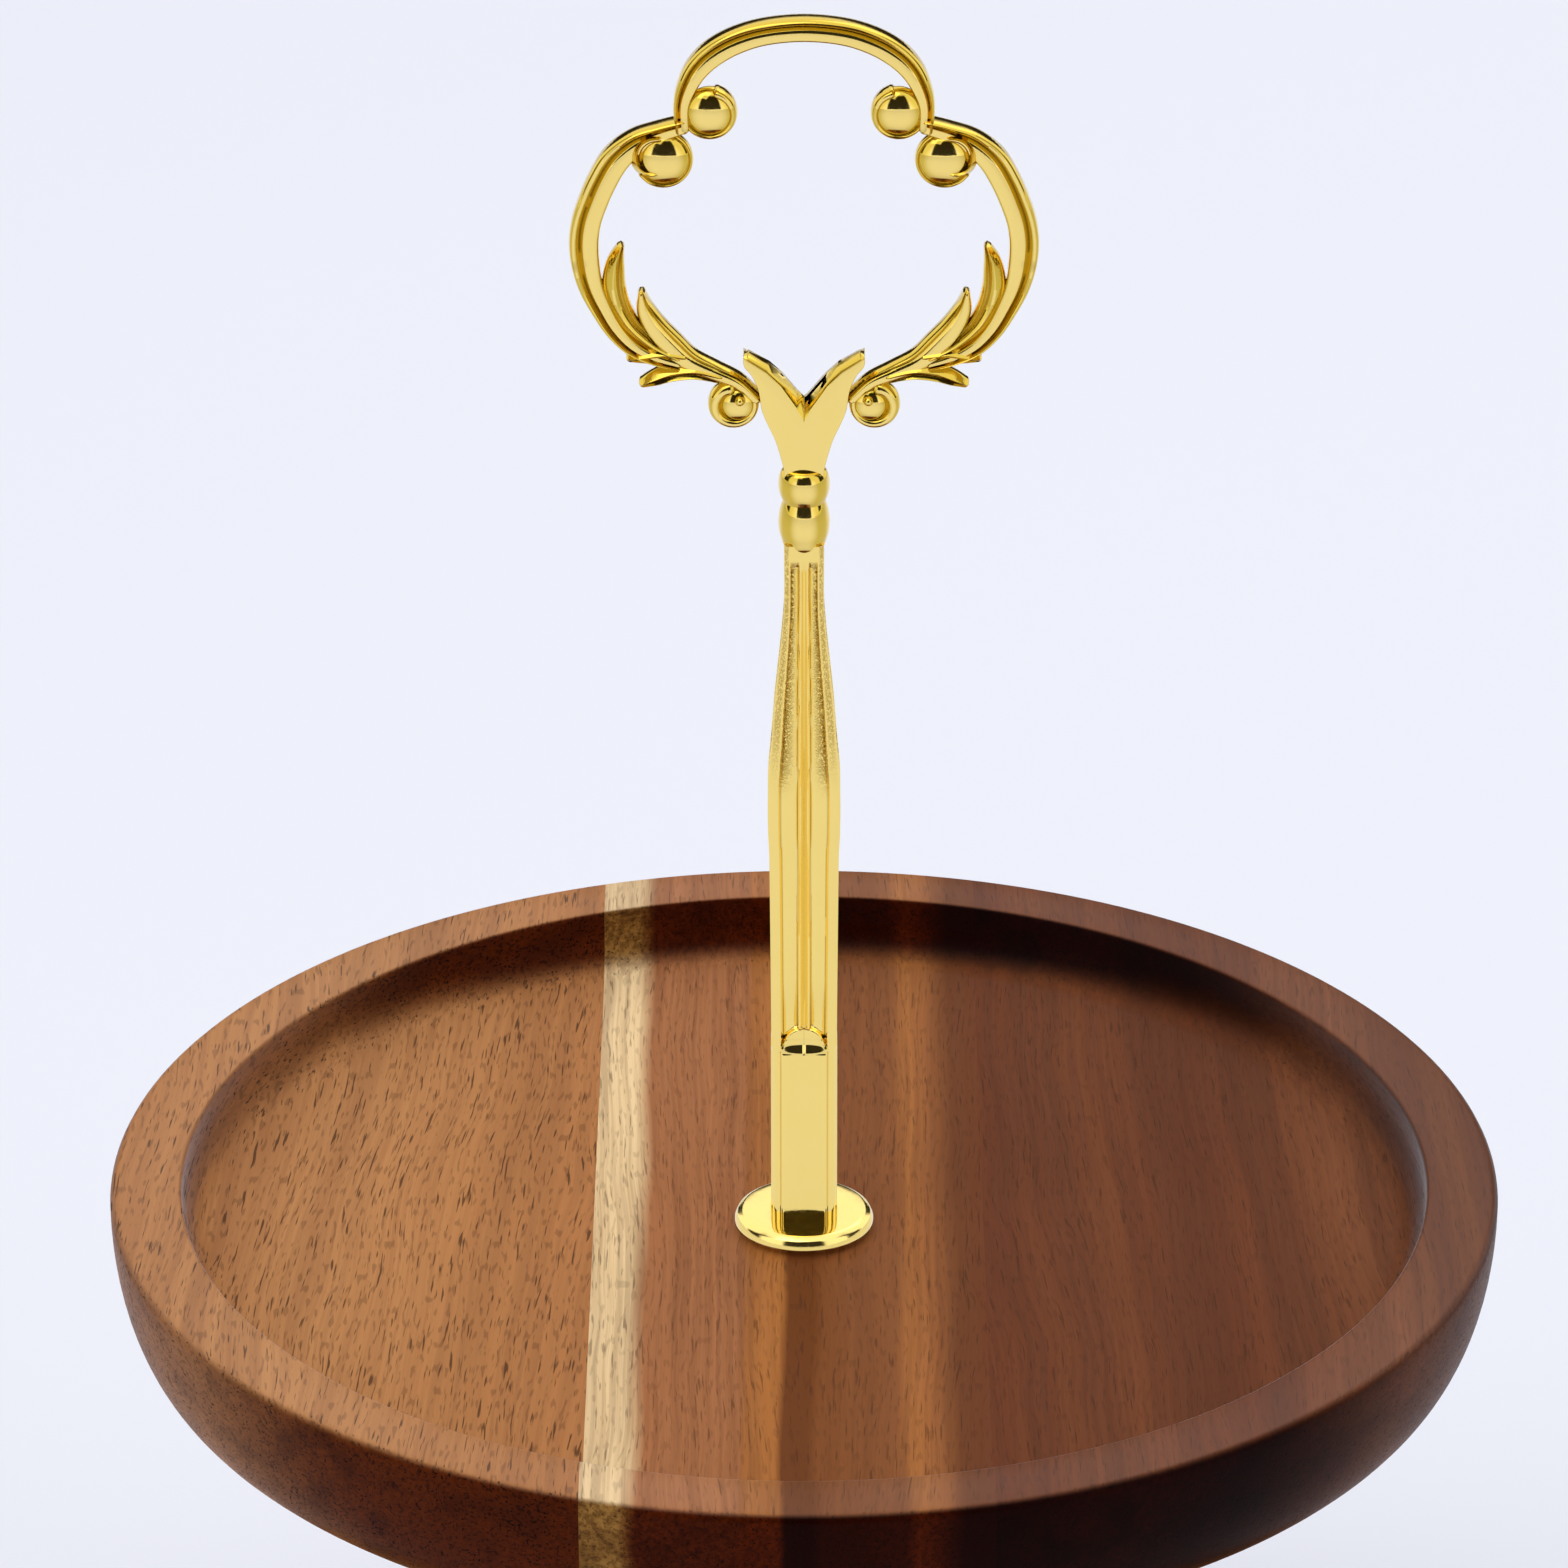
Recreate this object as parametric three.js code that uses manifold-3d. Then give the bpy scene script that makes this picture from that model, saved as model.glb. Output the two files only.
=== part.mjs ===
// Two-tier cake stand: two turned acacia trays on a cast, gold-plated centre post with a
// scrolled ring handle. Millimetres, +Z up. The origin is on the table, under the post's axis,
// and the handle's ring faces -Y.
import * as THREE from 'three';
import Module from 'manifold-3d';
import { mergeVertices } from 'three/addons/utils/BufferGeometryUtils.js';
import { LoftGeometry } from 'three/addons/geometries/LoftGeometry.js';

const wasm = await Module();
wasm.setup();

// ---------------------------------------------------------------- driving dimensions

// Trays
const UPPER_TRAY_RADIUS = 100;
const LOWER_TRAY_RADIUS = 120;
const TRAY_HEIGHT = 22.5;
const TRAY_FOOT_INSET = 8.5;       // how far the outer wall draws in from rim to underside
const RIM_WIDTH = 10.3;            // flat band on top of the wall
const RIM_EDGE = 1.4;              // rounding of the rim's outer edge
const RECESS_DEPTH = 9;
const RECESS_COVE = 6;             // radius where the recess wall meets its floor
const UPPER_GLUE_LINES = [-30.5, 26];      // x of the joints between boards
const LOWER_GLUE_LINES = [-62, -17, 41];

// Post castings
const ROD_LENGTH = 111.6;          // from seat to the top of the bead
const BLOCK_WIDTH = 9.5;           // square block at the bottom
const BLOCK_HEIGHT = 27;
const WAIST_WIDTH = 9.4;           // just above the block
const BELLY_WIDTH = 10.2;          // widest place of the baluster
const BELLY_HEIGHT = 62;           // from seat to the lower end of the belly
const BELLY_LENGTH = 6.4;
const NECK_WIDTH = 5.6;
const NECK_LENGTH = 8.2;           // straight length under the bead
const SHOULDER_HEIGHT = 3.8;       // run-in of the flutes above the block
const BEAD_RADIUS = 3.6;
const BEAD_FACE_RADIUS = 3;        // flat ends where two beads meet
const ROD_BEAD_HEIGHT = 6.9;
const HANDLE_BEAD_HEIGHT = 5;
const CHAMFER_SHARE = 0.17;        // corner chamfer as a share of the rod's width
const FLUTE_DEPTH = 0.4;
const FLUTE_MARGIN = 0.35;
const REED_WIDTH = 1.7;

// Threads and screws
const THREAD_PITCH = 0.7;
const THREAD_TURNS = 9;
const STUD_RADIUS = 2;
const BORE_CLEARANCE = 0.15;       // thread clearance, radial
const HOLE_CLEARANCE = 0.4;        // plain holes in washers and gaskets, radial
const TRAY_HOLE_CLEARANCE = 0.7;   // hole through the wood, radial
const END_GAP = 0.5;               // between a screw's end and the bottom of its bore
const HANDLE_BORE_ROOF = 0.6;      // metal left above the bore in the handle's bead
const ROD_FOOT_BORE_DEPTH = 13;
const BOLT_HEAD_RADIUS = 4;
const BOLT_HEAD_HEIGHT = 2.6;
const BOLT_SOCKET_RADIUS = 1.5;
const BOLT_SOCKET_DEPTH = 1.5;

// Washers, gaskets, feet
const FLANGE_RADIUS = 10;
const FLANGE_HEIGHT = 2;
const FLANGE_EDGE = 0.7;
const FLANGE_SEAT_MARGIN = 0.9;    // flat top beyond the block's corners
const GASKET_RADIUS = 8;
const GASKET_THICKNESS = 1;
const WASHER_RADIUS = 9;
const WASHER_THICKNESS = 1.2;
const WASHER_EDGE = 0.2;
const COUNTERBORE_CLEARANCE = 2;   // round the base washer, radial
const COUNTERBORE_DEPTH = 5;
const FOOT_RADIUS = 5;
const FOOT_FLAT_RADIUS = 3.6;
const FOOT_HEIGHT = 3;
const FOOT_CIRCLE_INSET = 14;      // foot centres, in from the edge of the underside

// Handle
const HANDLE_THICKNESS = 3.6;      // along Y
const FORK_THICKNESS = 3.8;
const FORK_TENON = 1.5;            // how far the fork's foot is sunk into the bead
const BALL_THICKNESS = 4.6;

// Facets
const TRAY_SEGMENTS = 64;
const ROUND_SEGMENTS = 24;
const BALL_SEGMENTS = 16;

// ---------------------------------------------------------------- derived sizes

const threadEngagement = THREAD_PITCH * THREAD_TURNS;
const boreRadius = STUD_RADIUS + BORE_CLEARANCE;
const holeRadius = STUD_RADIUS + HOLE_CLEARANCE;
const trayHoleRadius = STUD_RADIUS + TRAY_HOLE_CLEARANCE;
const socketDepth = threadEngagement + END_GAP;
const handleBoreDepth = HANDLE_BEAD_HEIGHT - HANDLE_BORE_ROOF;
const trayFloor = TRAY_HEIGHT - RECESS_DEPTH;

const lowerTrayZ = FOOT_HEIGHT;
const lowerGasketZ = lowerTrayZ + trayFloor;
const lowerFlangeZ = lowerGasketZ + GASKET_THICKNESS;
const lowerRodZ = lowerFlangeZ + FLANGE_HEIGHT;
const underWasherZ = lowerRodZ + ROD_LENGTH;
const underGasketZ = underWasherZ + WASHER_THICKNESS;
const upperTrayZ = underGasketZ + GASKET_THICKNESS;
const upperGasketZ = upperTrayZ + trayFloor;
const upperFlangeZ = upperGasketZ + GASKET_THICKNESS;
const upperRodZ = upperFlangeZ + FLANGE_HEIGHT;
const handleZ = upperRodZ + ROD_LENGTH;

// ---------------------------------------------------------------- materials

const finish = (color, roughness, metalness) =>
  new THREE.MeshStandardMaterial({ color, roughness, metalness });

const gold = finish(0xe6c25a, 0.12, 1);
const steel = finish(0xb8bcc0, 0.35, 1);
const silicone = finish(0xe4e6e4, 0.45, 0);
const acacia = [0x9a6844, 0x86503a, 0x764436, 0x8f5c40].map(color => finish(color, 0.5, 0));

// ---------------------------------------------------------------- solids

function toSolid(shape) {
  const geometry = new THREE.BufferGeometry();
  geometry.setAttribute('position', shape.getAttribute('position'));
  geometry.setIndex(shape.getIndex());
  const merged = mergeVertices(geometry, 1e-4);
  const vertProperties = Float32Array.from(merged.attributes.position.array);
  const triVerts = Uint32Array.from(merged.index.array);
  const solid = new wasm.Manifold(new wasm.Mesh({ numProp: 3, vertProperties, triVerts }));
  if (solid.volume() > 0) return solid;
  for (let i = 0; i < triVerts.length; i += 3) {
    [triVerts[i + 1], triVerts[i + 2]] = [triVerts[i + 2], triVerts[i + 1]];
  }
  return new wasm.Manifold(new wasm.Mesh({ numProp: 3, vertProperties, triVerts }));
}

function toGeometry(solid) {
  const mesh = solid.getMesh();
  const geometry = new THREE.BufferGeometry();
  geometry.setAttribute('position', new THREE.BufferAttribute(mesh.vertProperties, 3));
  geometry.setIndex(new THREE.BufferAttribute(mesh.triVerts, 1));
  return geometry;
}

// A turned piece: the profile is a list of [radius, height], turned about Z.
function turned(profile, segments = ROUND_SEGMENTS) {
  const points = profile.map(([radius, height]) => new THREE.Vector2(radius, height));
  const geometry = new THREE.LatheGeometry(points, segments);
  geometry.rotateX(Math.PI / 2);
  return toSolid(geometry);
}

function cylinder(radius, low, high, segments = ROUND_SEGMENTS) {
  return turned([[0, low], [radius, low], [radius, high], [0, high]], segments);
}

// A ring whose profile closes on itself: the first point is repeated at the end.
const ring = (profile, segments) => turned([...profile, profile[0]], segments);

function box(sizeX, sizeY, sizeZ, x, y, z) {
  return toSolid(new THREE.BoxGeometry(sizeX, sizeY, sizeZ).translate(x, y, z));
}

const joined = solids => solids.reduce((whole, next) => whole.add(next));

// ---------------------------------------------------------------- trays

// Outline of a tray's wall and floor, from the hole's lower edge round to its upper edge.
function trayProfile(radius) {
  const wallSteps = 6;
  const coveSteps = 3;
  const footRadius = radius - TRAY_FOOT_INSET;
  const wallTop = TRAY_HEIGHT - RIM_EDGE;
  const recessRadius = radius - RIM_WIDTH;
  const profile = [[trayHoleRadius, 0]];
  for (let i = 0; i <= wallSteps; i++) {
    const angle = (i / wallSteps) * Math.PI / 2;
    profile.push([
      footRadius + TRAY_FOOT_INSET * Math.sin(angle),
      wallTop * (1 - Math.cos(angle)),
    ]);
  }
  profile.push([radius - RIM_EDGE * 0.3, TRAY_HEIGHT - RIM_EDGE * 0.3]);
  profile.push([radius - RIM_EDGE, TRAY_HEIGHT]);
  profile.push([recessRadius, TRAY_HEIGHT]);
  for (let i = 0; i <= coveSteps; i++) {
    const angle = (i / coveSteps) * Math.PI / 2;
    profile.push([
      recessRadius - RECESS_COVE * (1 - Math.cos(angle)),
      trayFloor + RECESS_COVE * (1 - Math.sin(angle)),
    ]);
  }
  profile.push([trayHoleRadius, trayFloor]);
  return profile;
}

// The boards of a tray, cut from one turned blank along the planes of the glue lines.
function trayBoards(radius, glueLines, blank) {
  const edges = [-radius - 1, ...glueLines, radius + 1];
  const depth = 2 * radius + 2;
  return edges.slice(1).map((right, i) => {
    const left = edges[i];
    const slab = box(right - left, depth, depth, (left + right) / 2, 0, 0);
    return blank.intersect(slab);
  });
}

// ---------------------------------------------------------------- post castings

// One cross-section of the rod: a chamfered square whose four faces each hold a shallow
// flute with a reed standing in its middle.
function rodSection(z, width, fluteDepth) {
  const half = width / 2;
  const flat = half - CHAMFER_SHARE * width;
  const flute = flat - FLUTE_MARGIN;
  const reed = Math.min(REED_WIDTH / 2, flute - 0.3);
  const face = [
    [-flat, 0], [-flute, 0], [-flute + 0.15, fluteDepth], [-reed, fluteDepth],
    [-reed / 2, 0], [reed / 2, 0],
    [reed, fluteDepth], [flute - 0.15, fluteDepth], [flute, 0], [flat, 0],
  ];
  const points = [];
  for (let side = 0; side < 4; side++) {
    const angle = side * Math.PI / 2;
    for (const [across, inward] of face) {
      points.push(new THREE.Vector3(across, -(half - inward), z)
        .applyAxisAngle(new THREE.Vector3(0, 0, 1), angle));
    }
  }
  return points;
}

function rodCasting() {
  const beadFoot = ROD_LENGTH - ROD_BEAD_HEIGHT;
  const neckFoot = beadFoot - NECK_LENGTH;
  const bellyTop = BELLY_HEIGHT + BELLY_LENGTH;
  const shrink = (share) => NECK_WIDTH + (BELLY_WIDTH - NECK_WIDTH) * share;
  const between = (share) => bellyTop + (neckFoot - bellyTop) * share;
  const stations = [
    [0, BLOCK_WIDTH, 0],
    [BLOCK_HEIGHT, BLOCK_WIDTH, 0],
    [BLOCK_HEIGHT + SHOULDER_HEIGHT, WAIST_WIDTH, FLUTE_DEPTH],
    [0.9 * BELLY_HEIGHT, (WAIST_WIDTH + BELLY_WIDTH) / 2, FLUTE_DEPTH],
    [BELLY_HEIGHT, BELLY_WIDTH, FLUTE_DEPTH],
    [bellyTop, BELLY_WIDTH, FLUTE_DEPTH],
    [between(0.2), shrink(0.8), FLUTE_DEPTH],
    [between(0.42), shrink(0.6), FLUTE_DEPTH],
    [between(0.62), shrink(0.35), FLUTE_DEPTH],
    [between(0.8), shrink(0.14), FLUTE_DEPTH * 0.8],
    [neckFoot, NECK_WIDTH, FLUTE_DEPTH * 0.6],
    [beadFoot - 1, NECK_WIDTH, FLUTE_DEPTH * 0.6],
    [beadFoot + 2, NECK_WIDTH, 0],
  ];
  const sections = stations.map(([z, width, flute]) => rodSection(z, width, flute));
  const shaft = toSolid(new LoftGeometry(sections, { closed: true, capStart: true, capEnd: true }));
  const bead = turned([
    [0, beadFoot - 0.4],
    [NECK_WIDTH / 2, beadFoot],
    [0.9 * BEAD_RADIUS, beadFoot + 0.2 * ROD_BEAD_HEIGHT],
    [BEAD_RADIUS, beadFoot + 0.5 * ROD_BEAD_HEIGHT],
    [0.96 * BEAD_RADIUS, beadFoot + 0.75 * ROD_BEAD_HEIGHT],
    [BEAD_FACE_RADIUS, ROD_LENGTH],
    [0, ROD_LENGTH],
  ]);
  const topBore = cylinder(boreRadius, ROD_LENGTH - socketDepth, ROD_LENGTH + 1);
  const footBore = cylinder(boreRadius, -1, ROD_FOOT_BORE_DEPTH);
  return shaft.add(bead).subtract(topBore).subtract(footBore);
}

// ---------------------------------------------------------------- handle

// A bar of rounded section that follows a curve in the XZ plane. Each station is
// [x, z, width]; the thickness along Y shrinks with the width at the bar's pointed ends.
function bar(stations, thickness = HANDLE_THICKNESS, steps = 10) {
  const curve = new THREE.CatmullRomCurve3(
    stations.map(([x, z]) => new THREE.Vector3(x, 0, z)), false, 'centripetal');
  const widths = stations.map(station => station[2]);
  const fullWidth = Math.max(...widths);
  const corners = [
    [-1, -0.45], [-0.55, -1], [0.55, -1], [1, -0.45],
    [1, 0.45], [0.55, 1], [-0.55, 1], [-1, 0.45],
  ];
  const sections = [];
  for (let i = 0; i <= steps; i++) {
    const t = i / steps;
    const point = curve.getPoint(t);
    const tangent = curve.getTangent(t);
    const place = t * (widths.length - 1);
    const low = Math.min(Math.floor(place), widths.length - 2);
    const width = THREE.MathUtils.lerp(widths[low], widths[low + 1], place - low);
    const half = thickness / 2 * Math.min(1, 0.45 + 0.75 * width / fullWidth);
    sections.push(corners.map(([across, deep]) => new THREE.Vector3(
      point.x + tangent.z * across * width / 2,
      deep * half,
      point.z - tangent.x * across * width / 2)));
  }
  return toSolid(new LoftGeometry(sections, { closed: true, capStart: true, capEnd: true }));
}

// A domed button with its axis along Y, for the eye of a volute.
function button(x, z, radius) {
  const half = BALL_THICKNESS / 2;
  return turned([
    [0, -half], [0.45 * radius, -0.9 * half], [0.8 * radius, -0.62 * half],
    [radius, -0.25 * half], [radius, 0.25 * half],
    [0.8 * radius, 0.62 * half], [0.45 * radius, 0.9 * half], [0, half],
  ], BALL_SEGMENTS).rotate([90, 0, 0]).translate([x, 0, z]);
}

// The fork that carries the ring: an upright Y whose arms end in points. Its foot is sunk
// into the bead, and heights are above the bead.
function fork() {
  const side = [
    [0, 10.5], [0.8, 11.4], [3, 14.1], [4.8, 15.8], [7.7, 17.5], [8.4, 17.2], [8.3, 15.8],
    [7.2, 14.3], [6.2, 12.1], [5.9, 9], [5.3, 7.8], [3.9, 4.7], [NECK_WIDTH / 2, 0],
    [NECK_WIDTH / 2, -FORK_TENON],
  ];
  const mirrored = side.slice(1).reverse().map(([x, z]) => [-x, z]);
  const shape = new THREE.Shape([...side, ...mirrored].map(([x, z]) => new THREE.Vector2(x, z)));
  const geometry = new THREE.ExtrudeGeometry(shape, { depth: FORK_THICKNESS, bevelEnabled: false });
  geometry.rotateX(Math.PI / 2);
  geometry.translate(0, FORK_THICKNESS / 2, 0);
  return toSolid(geometry);
}

// The ring's right half, out from its middle plane; heights are above the handle's bead.
function ringSide() {
  return [
    bar([[16.9, 50.9, 2.2], [20, 49.9, 2.6], [23.2, 48.4, 3.4], [25.9, 45.9, 4], [27.7, 42.8, 4.1],
      [29, 39.7, 4.1], [29.9, 36.9, 4.1], [30.3, 33.9, 4.1], [30.1, 30.6, 3.9], [29.4, 27.3, 3.4],
      [28, 24, 2.9], [26.2, 20.8, 2.4], [23.8, 17.8, 1.7]], HANDLE_THICKNESS, 18),
    bar([[25.1, 33.8, 0.7], [25.8, 30.6, 2], [25.9, 27.2, 2.4], [25.1, 24.2, 2.4],
      [23.5, 21.2, 2.2], [21, 18.6, 1.8]]),
    bar([[22.5, 26.8, 0.7], [22, 23.8, 2], [20.6, 21.2, 2.6], [18.5, 18.7, 2.9],
      [15.8, 16.3, 2.8], [12.3, 14.5, 2.4], [9.1, 13, 2], [6.6, 10.6, 1.8]]),
    bar([[24.6, 17.1, 0.8], [22, 17.2, 1.6], [19.6, 17.5, 2], [16.9, 17, 2]], HANDLE_THICKNESS, 6),
    bar([[22.7, 12.9, 0.9], [20.6, 13.6, 1.6], [18.3, 14.5, 1.9], [15.1, 15, 2],
      [11.9, 14.2, 2]], HANDLE_THICKNESS, 6),
    button(12.9, 53.1, 3.8),
    button(19.2, 45.9, 4),
    button(9.9, 9.7, 3.6),
  ];
}

function handleCasting() {
  const topArc = bar([[-16.7, 50.6, 2], [-16.8, 53.7, 2.2], [-16.2, 56.2, 2.7], [-14.8, 59, 3.2],
    [-12.6, 61.3, 3.5], [-9.4, 63.2, 3.5], [-5.3, 64.5, 3.4], [0, 65, 3.4], [5.3, 64.5, 3.4],
    [9.4, 63.2, 3.5], [12.6, 61.3, 3.5], [14.8, 59, 3.2], [16.2, 56.2, 2.7], [16.8, 53.7, 2.2],
    [16.7, 50.6, 2]], HANDLE_THICKNESS, 22);
  const right = joined(ringSide());
  const left = right.mirror([1, 0, 0]);
  const bead = turned([
    [0, 0], [BEAD_FACE_RADIUS, 0],
    [0.94 * BEAD_RADIUS, 0.2 * HANDLE_BEAD_HEIGHT],
    [BEAD_RADIUS, 0.5 * HANDLE_BEAD_HEIGHT],
    [0.94 * BEAD_RADIUS, 0.8 * HANDLE_BEAD_HEIGHT],
    [NECK_WIDTH / 2, HANDLE_BEAD_HEIGHT],
    [0, HANDLE_BEAD_HEIGHT],
  ]);
  const bore = cylinder(boreRadius, -1, handleBoreDepth);
  const ringAndFork = joined([topArc, right, left, fork()]).translate([0, 0, HANDLE_BEAD_HEIGHT]);
  return ringAndFork.add(bead).subtract(bore);
}

// ---------------------------------------------------------------- washers, screws, feet

function flange() {
  const blockCorner = BLOCK_WIDTH * Math.hypot(0.5, 0.5 - CHAMFER_SHARE);
  const seat = blockCorner + FLANGE_SEAT_MARGIN;
  const cove = (FLANGE_RADIUS - seat) / 3;
  return ring([
    [holeRadius, 0], [FLANGE_RADIUS, 0], [FLANGE_RADIUS, FLANGE_EDGE],
    [seat + 2 * cove, FLANGE_EDGE + 0.2 * (FLANGE_HEIGHT - FLANGE_EDGE)],
    [seat + cove, FLANGE_EDGE + 0.45 * (FLANGE_HEIGHT - FLANGE_EDGE)],
    [seat, FLANGE_HEIGHT], [holeRadius, FLANGE_HEIGHT],
  ]);
}

function flatWasher(radius, thickness, edge) {
  return ring([
    [holeRadius, 0], [radius - edge, 0], [radius, edge], [radius, thickness - edge],
    [radius - edge, thickness], [holeRadius, thickness],
  ]);
}

const stud = (low, high) => turned([
  [0, low], [STUD_RADIUS - 0.4, low], [STUD_RADIUS, low + 0.4],
  [STUD_RADIUS, high - 0.4], [STUD_RADIUS - 0.4, high], [0, high],
]);

// The base screw stands with its head's bearing face at z = 0 and its shank upwards.
function baseBolt(shankLength) {
  const socket = cylinder(BOLT_SOCKET_RADIUS, -BOLT_HEAD_HEIGHT - 1,
    -BOLT_HEAD_HEIGHT + BOLT_SOCKET_DEPTH, 6);
  return turned([
    [0, -BOLT_HEAD_HEIGHT], [0.7 * BOLT_HEAD_RADIUS, -BOLT_HEAD_HEIGHT],
    [0.93 * BOLT_HEAD_RADIUS, -0.75 * BOLT_HEAD_HEIGHT],
    [BOLT_HEAD_RADIUS, -0.35 * BOLT_HEAD_HEIGHT], [BOLT_HEAD_RADIUS, 0],
    [STUD_RADIUS, 0], [STUD_RADIUS, shankLength - 0.4], [STUD_RADIUS - 0.4, shankLength],
    [0, shankLength],
  ]).subtract(socket);
}

const bumperFoot = () => turned([
  [0, 0], [FOOT_FLAT_RADIUS, 0], [0.9 * FOOT_RADIUS, 0.35 * FOOT_HEIGHT],
  [FOOT_RADIUS, 0.8 * FOOT_HEIGHT], [FOOT_RADIUS, FOOT_HEIGHT], [0, FOOT_HEIGHT],
], BALL_SEGMENTS);

// ---------------------------------------------------------------- assembly

const stand = new THREE.Group();

function place(name, solid, material, x, y, z) {
  const mesh = new THREE.Mesh(toGeometry(solid), material);
  mesh.name = name;
  mesh.position.set(x, y, z);
  stand.add(mesh);
}

// Lower tray: boards, feet and the screw from below
const counterbore = cylinder(WASHER_RADIUS + COUNTERBORE_CLEARANCE, -1, COUNTERBORE_DEPTH);
const lowerBlank = ring(trayProfile(LOWER_TRAY_RADIUS), TRAY_SEGMENTS).subtract(counterbore);
trayBoards(LOWER_TRAY_RADIUS, LOWER_GLUE_LINES, lowerBlank).forEach((board, i) =>
  place(`lower_tray_board_${i + 1}`, board, acacia[i % acacia.length], 0, 0, lowerTrayZ));

const footCircle = LOWER_TRAY_RADIUS - TRAY_FOOT_INSET - FOOT_CIRCLE_INSET;
for (let i = 0; i < 4; i++) {
  const angle = Math.PI / 4 + i * Math.PI / 2;
  place(`foot_${i + 1}`, bumperFoot(), silicone,
    footCircle * Math.cos(angle), footCircle * Math.sin(angle), 0);
}

const baseWasherZ = lowerTrayZ + COUNTERBORE_DEPTH - WASHER_THICKNESS;
const boltLength = lowerRodZ + ROD_FOOT_BORE_DEPTH - END_GAP - baseWasherZ;
place('base_washer', flatWasher(WASHER_RADIUS, WASHER_THICKNESS, WASHER_EDGE), steel,
  0, 0, baseWasherZ);
place('base_bolt', baseBolt(boltLength), steel, 0, 0, baseWasherZ);

// Lower post section
const gasket = () => flatWasher(GASKET_RADIUS, GASKET_THICKNESS, 0.1);
place('lower_gasket_top', gasket(), silicone, 0, 0, lowerGasketZ);
place('lower_flange', flange(), gold, 0, 0, lowerFlangeZ);
place('lower_rod', rodCasting(), gold, 0, 0, lowerRodZ);

// Upper tray between its washers
place('upper_washer_under', flatWasher(WASHER_RADIUS, WASHER_THICKNESS, WASHER_EDGE), gold,
  0, 0, underWasherZ);
place('upper_gasket_under', gasket(), silicone, 0, 0, underGasketZ);
const upperBlank = ring(trayProfile(UPPER_TRAY_RADIUS), TRAY_SEGMENTS);
trayBoards(UPPER_TRAY_RADIUS, UPPER_GLUE_LINES, upperBlank).forEach((board, i) =>
  place(`upper_tray_board_${i + 1}`, board, acacia[i % acacia.length], 0, 0, upperTrayZ));
place('upper_gasket_top', gasket(), silicone, 0, 0, upperGasketZ);
place('upper_flange', flange(), gold, 0, 0, upperFlangeZ);

// Upper post section and handle
const rodStudLow = underWasherZ - threadEngagement;
const rodStudHigh = upperRodZ + ROD_FOOT_BORE_DEPTH - END_GAP;
place('upper_rod_stud', stud(0, rodStudHigh - rodStudLow), steel, 0, 0, rodStudLow);
place('upper_rod', rodCasting(), gold, 0, 0, upperRodZ);
place('handle_stud', stud(-threadEngagement, handleBoreDepth - END_GAP), steel, 0, 0, handleZ);
place('handle', handleCasting(), gold, 0, 0, handleZ);

export default stand;
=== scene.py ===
# %% [markdown]
# # A tiered cake stand: looks around a fixed frame
# The stand is two turned acacia trays on a gilt cast post, with a scrolled ring handle on top.
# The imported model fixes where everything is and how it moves, so it is loaded first and never
# changed. Each solid of it is then stood for by a finer piece made here.

# %% Load the frame
import math

import bmesh
import bpy
from mathutils import Matrix, Vector


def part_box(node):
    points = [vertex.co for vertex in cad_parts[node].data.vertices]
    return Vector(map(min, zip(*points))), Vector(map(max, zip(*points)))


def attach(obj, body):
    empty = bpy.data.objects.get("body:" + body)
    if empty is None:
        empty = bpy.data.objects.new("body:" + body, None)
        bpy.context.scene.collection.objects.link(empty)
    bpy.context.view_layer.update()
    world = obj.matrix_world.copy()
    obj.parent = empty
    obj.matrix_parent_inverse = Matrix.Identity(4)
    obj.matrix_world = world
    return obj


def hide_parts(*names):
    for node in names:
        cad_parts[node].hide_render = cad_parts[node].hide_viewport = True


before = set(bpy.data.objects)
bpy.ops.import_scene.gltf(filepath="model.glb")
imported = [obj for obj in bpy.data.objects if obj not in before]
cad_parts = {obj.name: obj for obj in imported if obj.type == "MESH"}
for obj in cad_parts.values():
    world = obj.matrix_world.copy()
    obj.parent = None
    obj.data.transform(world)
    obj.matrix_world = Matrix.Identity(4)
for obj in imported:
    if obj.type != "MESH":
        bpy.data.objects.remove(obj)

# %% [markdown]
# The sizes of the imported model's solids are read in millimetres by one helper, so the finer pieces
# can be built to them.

MM = 0.001
FULL_TURN = 2 * math.pi
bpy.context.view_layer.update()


def span_mm(node):
    """The lowest and highest corner of a node of the frame, in millimetres."""
    low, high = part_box(node)
    return low / MM, high / MM


# %% [markdown]
# ## Camera
# A long lens from about 25 degrees above the trays shows the ring nearly square on and still
# looks into the recess. The little sideways shift puts the post a touch right of the middle.

# %% Camera
CAMERA_RAISE = math.radians(25.38)
CAMERA_DISTANCE = 1.291
CAMERA_AIM_HEIGHT = 0.2175
CAMERA_LENS = 209.5
CAMERA_SHIFT = -0.0128

camera = bpy.data.objects.new("camera", bpy.data.cameras.new("camera"))
bpy.context.collection.objects.link(camera)
camera.location = (
    0,
    -CAMERA_DISTANCE * math.cos(CAMERA_RAISE),
    CAMERA_AIM_HEIGHT + CAMERA_DISTANCE * math.sin(CAMERA_RAISE),
)
camera.rotation_euler = (math.pi / 2 - CAMERA_RAISE, 0, 0)
camera.data.lens = CAMERA_LENS
camera.data.sensor_width = 36
camera.data.shift_x = CAMERA_SHIFT
camera.data.clip_end = 50
bpy.context.scene.camera = camera
bpy.context.scene.view_settings.view_transform = "Standard"
print("camera stands at", [round(v, 3) for v in camera.location])

# %% [markdown]
# ## Node helper
# Materials are built from many small nodes. One helper makes a node, sets what it is given and
# links what is already an output, so a recipe reads from top to bottom like a list of steps.


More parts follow.
